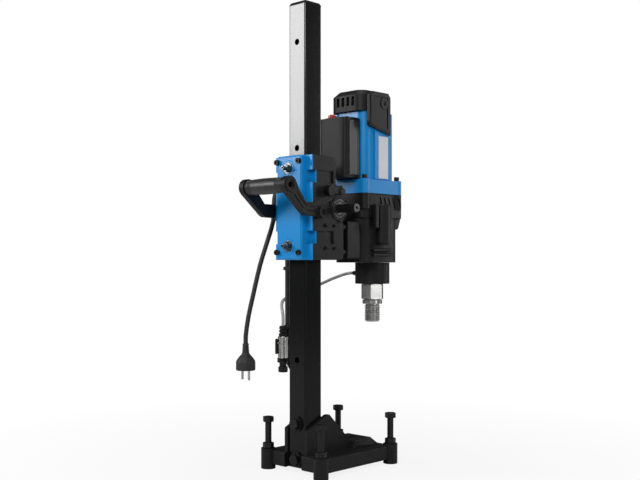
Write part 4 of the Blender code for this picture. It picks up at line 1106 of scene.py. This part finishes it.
def cord_curve(name, points, diameter, look):
    """One open curve with round section through points counted from the column."""
    curve = bpy.data.curves.new(name, "CURVE")
    curve.dimensions = "3D"
    curve.bevel_depth = diameter / 2
    curve.bevel_resolution = 4
    curve.use_fill_caps = True
    spline = curve.splines.new("POLY")
    spline.points.add(len(points) - 1)
    for point, place in zip(spline.points, points):
        point.co = (*at(*place), 1.0)
    spline.use_smooth = True
    obj = bpy.data.objects.new(name, curve)
    bpy.context.scene.collection.objects.link(obj)
    curve.materials.append(finish(look))
    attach(obj, "carriage")
    return obj


class RIG_OT_lead(RigOperator, bpy.types.Operator):
    """Lay the mains lead: out of the box, wound in its tied hank, and down to the plug"""

    bl_idname = "rig.lead"
    bl_label = "Mains lead"

    def execute(self, context):
        diameter = self.sizes.cord
        hank_low, hank_high = local_box("lead_hank")
        exit_at = (local_box("mains_lead")[1].x, 0.100, 0.600)
        middle_y = (hank_low.y + hank_high.y) / 2
        outer = (hank_high.y - hank_low.y) / 2 - diameter / 2 + 0.0006
        inner = outer - diameter
        layers = (hank_high.x - diameter / 2 - 0.0002, hank_low.x + diameter / 2 + 0.0002)
        high_z = hank_high.z - outer - diameter / 2
        low_z = hank_low.z + outer + diameter / 2
        turns = self.winding(layers, outer, inner, middle_y, low_z, high_z)
        # The winding's first and last runs are cut short where the free stretches join them.
        above = 0.405
        while turns[0][2] > above - 0.006:
            turns.pop(0)
        while turns[-1][2] > above - 0.012:
            turns.pop()
        points = self.entry(exit_at, (layers[0], middle_y + outer, above))
        points += turns + self.tail(layers[1], middle_y - outer)
        lead = cord_curve("mains_lead_finished", points, diameter, "rubber")
        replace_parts(lead, "mains_lead", "lead_hank", "lead_tail")
        fittings = [self.plug(), self.relief(), *self.ties(hank_low, hank_high)]
        return {"FINISHED"}

    def entry(self, exit_at, run):
        """Out of the relief, round a quarter bend and down inside the hank's top fold to its first run."""
        out_x, y, z = exit_at
        bend = 4 * self.sizes.cord
        points = [exit_at]
        for i in range(9):
            a = math.pi / 2 * (1 + i / 9)
            points.append((out_x - 0.006 + bend * math.cos(a), y, z - bend + bend * math.sin(a)))
        route = [
            (out_x - 0.006 - bend, y, z - bend),
            (-0.0960, 0.1010, 0.545),
            (-0.0918, 0.1050, 0.522),
            (-0.0870, 0.1115, 0.499),
            (-0.0852, 0.1190, 0.475),
            (-0.0868, 0.1255, 0.450),
            (-0.0915, 0.1280, 0.428),
            run,
        ]
        return points + through(route, 0.012)

    def tail(self, run_x, run_y):
        """Up off the last run, across outside the top fold, over a wide arch and down to the plug."""
        bend = 4 * self.sizes.cord
        lean = math.radians(30)
        arch_y, arch_z = 0.0483, 0.512
        outside_x = run_x - 0.0096
        start_y, start_z = arch_y + bend * math.cos(lean), arch_z - bend * math.sin(lean)
        slope = (start_y - run_y - bend * (1 - math.cos(lean))) / math.sin(lean)
        foot_z = start_z - slope * math.cos(lean) - bend * math.sin(lean)
        rise = 0.397
        side = [(run_y, z) for z in (rise, 0.409, 0.421, 0.432)]
        for i in range(4):
            a = lean * i / 3
            side.append((run_y + bend * (1 - math.cos(a)), foot_z + bend * math.sin(a)))
        last_y, last_z = side[-1]
        for share in (0.33, 0.66):
            side.append((last_y + (start_y - last_y) * share, last_z + (start_z - last_z) * share))
        points = [(run_x + (outside_x - run_x) * eased((z - rise) / 0.058), y, z) for y, z in side]
        steps = 16
        for i in range(steps):
            a = -lean + (math.pi + lean) * i / steps
            x = outside_x + (-0.099 - outside_x) * eased(i / steps)
            points.append((x, arch_y + bend * math.cos(a), arch_z + bend * math.sin(a)))
        route = [
            (-0.0990, arch_y - bend, arch_z),
            (-0.1000, 0.0112, 0.476),
            (-0.1050, 0.001, 0.438),
            (-0.1120, -0.013, 0.389),
            (-0.1180, -0.026, 0.330),
            (-0.1220, -0.035, 0.287),
            (-0.1240, -0.040, 0.250),
            (-0.1240, -0.040, 0.2363),
        ]
        return points + through(route, 0.018)

    def winding(self, layers, outer, inner, middle_y, low_z, high_z):
        """Four turns: two in each layer, the outer one first, then the inner, and out again."""
        radii = (outer, inner, inner, outer)
        xs = (layers[0], layers[0], layers[1], layers[1])
        points = []
        steps = 12
        for turn, (radius, x) in enumerate(zip(radii, xs)):
            after_r, after_x = radii[min(turn + 1, 3)], xs[min(turn + 1, 3)]
            # Down the front run, round the lower fold, up the rear run, round the upper fold.
            for i in range(5):
                points.append((x, middle_y + radius, high_z + (low_z - high_z) * i / 5))
            for i in range(steps):
                a = math.pi * i / steps
                points.append((x, middle_y + radius * math.cos(a), low_z - radius * math.sin(a)))
            for i in range(5):
                points.append((x, middle_y - radius, low_z + (high_z - low_z) * i / 5))
            if turn == 3:
                points.append((x, middle_y - radius, high_z))
                break
            for i in range(steps):
                a = math.pi * i / steps
                share = eased(i / steps)
                r = radius + (after_r - radius) * share
                at_x = x + (after_x - x) * share
                points.append((at_x, middle_y - r * math.cos(a), high_z + r * math.sin(a)))
        return points

    def plug(self):
        low, high = local_box("mains_plug")
        x, y, _ = middle_of("mains_plug")
        top = high.z
        profile = [(0.0, top), (0.0058, top), (0.0062, top - 0.001)]
        for i in range(4):
            z, grow = top - 0.003 - i * 0.004, i * 0.0003
            profile += [(0.0064 + grow, z), (0.0056 + grow, z - 0.001)]
            profile += [(0.0056 + grow, z - 0.0022), (0.0066 + grow, z - 0.0032)]
        # The moulded body, as radius and depth below the top.
        body = ((0.0085, 0.021), (0.0140, 0.027), (0.0182, 0.033), (0.0190, 0.037))
        body += ((0.0190, 0.049), (0.0182, 0.052), (0.0, 0.052))
        profile += [(radius, top - depth) for radius, depth in body]
        plug = turned("mains_plug_finished", profile, (x, y, 0))
        done(plug, "rubber", angle=40)
        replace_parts(plug, "mains_plug")
        profile = [(0.0, top - 0.0524), (0.0024, top - 0.0524), (0.0024, low.z + 0.0012)]
        profile += [(0.0014, low.z), (0.0, low.z)]
        spots = [(x - 0.0095, y, 0), (x + 0.0095, y, 0)]
        pin = done(turned("plug_pin_left", profile, spots[0], steps=24), "bright_steel")
        spread(pin, ("plug_pin_right",), spots)
        return plug

    def relief(self):
        _, y, z = middle_of("strain_relief")
        start, wall = local_box("strain_relief")[0].x, local_box("control_box")[0].x
        profile = [(0.0046, start), (0.0052, start)]
        for i in range(5):
            x = start + 0.001 + i * 0.0028
            r = 0.0054 + i * 0.00025
            profile += [(r, x), (r, x + 0.0014), (r - 0.0007, x + 0.0017), (r - 0.0007, x + 0.0026)]
        profile += [(0.0068, wall - 0.0034), (0.0085, wall - 0.0032), (0.0085, wall - 0.0003)]
        profile += [(0.0046, wall - 0.0003), (0.0046, start)]
        relief = turned("strain_relief_finished", profile, (0, y, z), axis="X")
        done(relief, "rubber")
        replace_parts(relief, "strain_relief")
        return relief

    def ties(self, low, high):
        """Two flat ties round the hank's runs."""
        made = []
        for i, z in enumerate((0.265, 0.382)):
            tie = block(
                f"hank_tie_{i + 1}",
                (low.x - 0.0012, low.y - 0.0018, z - 0.0035),
                (high.x + 0.0012, high.y + 0.0018, z + 0.0035),
            )
            pick_faces(tie, lambda normal: abs(normal.z) > 0.9)
            bpy.ops.mesh.delete(type="ONLY_FACE")
            leave()
            apply(tie, "SOLIDIFY", thickness=0.0010, offset=-1.0)
            round_edges(tie, 0.0006)
            done(tie, "black_plastic", "rubber")
            made.append(tie)
        return made


class RIG_OT_water(RigOperator, bpy.types.Operator):
    """Run the clear hose to its ball valve, with the lever, gland and connector"""

    bl_idname = "rig.water"
    bl_label = "Water hose and valve"

    def execute(self, context):
        low, high = local_box("valve_body")
        x, y, _ = middle_of("valve_body")
        start = local_box("water_hose")[1].x
        route = [
            (start, DRILL_AXIS[1], 0.372),
            (-0.072, 0.193, 0.370),
            (-0.100, 0.176, 0.358),
            (-0.119, 0.140, 0.340),
            (-0.122, 0.095, 0.326),
            (-0.118, 0.060, 0.320),
            (-0.107, 0.041, 0.309),
            (x, y, high.z + 0.020),
            (x, y, high.z + 0.0003),
        ]
        points = through(route, 0.008)
        hose = cord_curve("water_hose_finished", points, self.sizes.hose, "clear_hose")
        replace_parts(hose, "water_hose")
        body = self.body((x, y, 0), low.z, high.z)
        lever = dress("valve_lever", "black_plastic", 0.0008)
        return {"FINISHED"}

    def body(self, centre, bottom, top):
        """The valve: a ribbed gland on top, the turned body, and the quick connector below."""
        ribs = ((0.0, 0.0), (0.0058, 0.0), (0.0074, 0.0015), (0.0078, 0.0058), (0.0062, 0.0066))
        ribs += ((0.0062, 0.0080), (0.0080, 0.0088), (0.0080, 0.0122), (0.0064, 0.0130), (0.0064, 0.0146))
        ribs += ((0.0084, 0.0154), (0.0084, 0.0196), (0.0074, 0.0208), (0.0, 0.0208))
        profile = [(radius, top - depth) for radius, depth in ribs]
        done(turned("valve_gland", profile, centre, steps=36), "black_plastic")
        r = 0.0104
        steps = ((0.0, 0.0211), (r - 0.0010, 0.0211), (r, 0.0222), (r, 0.0330), (r - 0.0008, 0.0336))
        steps += ((r - 0.0008, 0.0350), (r, 0.0356))
        profile = [(radius, top - depth) for radius, depth in steps]
        profile += [(r, bottom + 0.0310), (0.0100, bottom + 0.0282), (0.0, bottom + 0.0282)]
        body = turned("valve_body_finished", profile, centre, steps=40)
        done(body, "upright_steel", "bright_steel")
        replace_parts(body, "valve_body")
        profile = [(0.0, bottom + 0.0279), (0.0112, bottom + 0.0279)]
        for i in range(4):
            z = bottom + 0.0275 - i * 0.0020
            profile += [(0.0118, z), (0.0111, z - 0.0010)]
        steps = ((0.0114, 0.0196), (0.0072, 0.0180), (0.0070, 0.0120), (0.0092, 0.0104), (0.0095, 0.0090))
        steps += ((0.0095, 0.0012), (0.0085, 0.0), (0.0040, 0.0), (0.0040, 0.0060), (0.0, 0.0060))
        profile += [(radius, bottom + height) for radius, height in steps]
        done(turned("valve_connector", profile, centre, steps=40), "black_steel")
        return body


# ---------------- stage


class RIG_OT_stage(RigOperator, bpy.types.Operator):
    """Set the floor, the soft lights, the world and the camera"""

    bl_idname = "rig.stage"
    bl_label = "Stage"

    def execute(self, context):
        scene = context.scene
        self.floor(scene)
        self.world(scene)
        self.lights(scene)
        self.camera(scene)
        scene.view_settings.view_transform = "Standard"
        return {"FINISHED"}

    def floor(self, scene):
        clear_selection()
        bpy.ops.mesh.primitive_plane_add(size=60.0, location=(0, 0, 0))
        floor = bpy.context.active_object
        floor.name = "floor"
        look = Look("pale_floor", Roughness=0.9)
        look.colour(tuple(scene.rig_colours.floor))
        seen = look.add("ShaderNodeLightPath", out="Is Camera Ray")
        glow = look.add("ShaderNodeEmission", None, {"Color": (1.0, 1.0, 1.0), "Strength": 1.0})
        here = look.add("ShaderNodeTexCoord", out="Object")
        away = look.add("ShaderNodeVectorMath", {"operation": "LENGTH"}, {0: here}, out="Value")
        share = seen * (0.86 + look.band(away, 0.25, 0.95) * 0.14)
        surface = Term(look, look.shader.outputs["BSDF"])
        mixed = look.add("ShaderNodeMixShader", None, {0: share, 1: surface, 2: glow})
        look.feed(look.tree.nodes["Material Output"], "Surface", mixed)
        floor.data.materials.append(look.material)

    def world(self, scene):
        world = bpy.data.worlds.new("studio")
        scene.world = world
        world.use_nodes = True
        nodes = Nodes(world.node_tree)
        # A dim white room lights the rig, and the camera sees plain white.
        room = nodes.tree.nodes["Background"]
        for socket, value in (("Color", (1.0, 1.0, 1.0)), ("Strength", 0.06)):
            nodes.feed(room, socket, value)
        dim = Term(nodes, room.outputs[0])
        white = nodes.add("ShaderNodeBackground", None, {"Color": (1.0, 1.0, 1.0), "Strength": 1.0})
        seen = nodes.add("ShaderNodeLightPath", out="Is Camera Ray")
        mixed = nodes.add("ShaderNodeMixShader", None, {0: seen, 1: dim, 2: white})
        nodes.feed(nodes.tree.nodes["World Output"], "Surface", mixed)

    def lights(self, scene):
        aim = Vector((0, 0, 0.45))
        lamps = (
            ("column_softbox", (-1.45, -1.55, 1.25), (0.55, 0.95), 23.5),
            ("side_softbox", (2.3, 0.05, 0.70), (0.6, 1.2), 6.0),
            ("right_softbox", (1.20, 2.30, 1.00), (0.6, 1.1), 15.0),
            ("camera_softbox", (1.3, -2.2, 1.7), (0.9, 0.9), 36.0),
            ("top_softbox", (0.2, -0.1, 2.5), (1.2, 1.2), 18.0),
        )
        for name, place, (wide, tall), power in lamps:
            lamp = bpy.data.lights.new(name, "AREA")
            lamp.shape = "RECTANGLE"
            lamp.size = wide
            lamp.size_y = tall
            lamp.energy = power
            obj = bpy.data.objects.new(name, lamp)
            obj.location = place
            obj.rotation_euler = (aim - Vector(place)).to_track_quat("-Z", "Y").to_euler()
            scene.collection.objects.link(obj)

    def camera(self, scene):
        data = bpy.data.cameras.new("camera")
        data.sensor_width = 36.0
        data.lens = 53.55
        data.shift_y = 0.03125
        data.clip_start = 0.05
        data.clip_end = 100.0
        obj = bpy.data.objects.new("camera", data)
        obj.location = at(1.268, -1.279, scene.rig_sizes.view_height)
        towards = Vector((-0.693, 0.721, 0.0))
        obj.rotation_euler = towards.to_track_quat("-Z", "Y").to_euler()
        scene.collection.objects.link(obj)
        scene.camera = obj


# ---------------- panel


STEPS = (
    RIG_OT_stage, RIG_OT_lead, RIG_OT_water, RIG_OT_base, RIG_OT_column, RIG_OT_stand_bolts,
    RIG_OT_carriage, RIG_OT_rear_plate, RIG_OT_pinion, RIG_OT_handle, RIG_OT_bracket,
    RIG_OT_gearbox, RIG_OT_motor, RIG_OT_motor_top, RIG_OT_control_box, RIG_OT_spindle,
    RIG_OT_inside,
)


class RIG_PT_panel(bpy.types.Panel):
    """The rig's settings and steps"""

    bl_idname = "RIG_PT_panel"
    bl_label = "Drill Rig"
    bl_space_type = "VIEW_3D"
    bl_region_type = "UI"
    bl_category = "Drill Rig"

    def draw(self, context):
        layout = self.layout
        for group in (context.scene.rig_sizes, context.scene.rig_colours):
            for name in group.__annotations__:
                layout.prop(group, name)
        for step in STEPS:
            layout.operator(step.bl_idname)


CLASSES = (RigColours, RigSizes, *STEPS, RIG_PT_panel)


def register():
    for cls in CLASSES:
        bpy.utils.register_class(cls)
    bpy.types.Scene.rig_colours = PointerProperty(type=RigColours)
    bpy.types.Scene.rig_sizes = PointerProperty(type=RigSizes)


def unregister():
    del bpy.types.Scene.rig_sizes
    del bpy.types.Scene.rig_colours
    for cls in reversed(CLASSES):
        bpy.utils.unregister_class(cls)


def main():
    register()
    for step in STEPS:
        group, name = step.bl_idname.split(".")
        getattr(getattr(bpy.ops, group), name)()


if __name__ == "__main__":
    main()
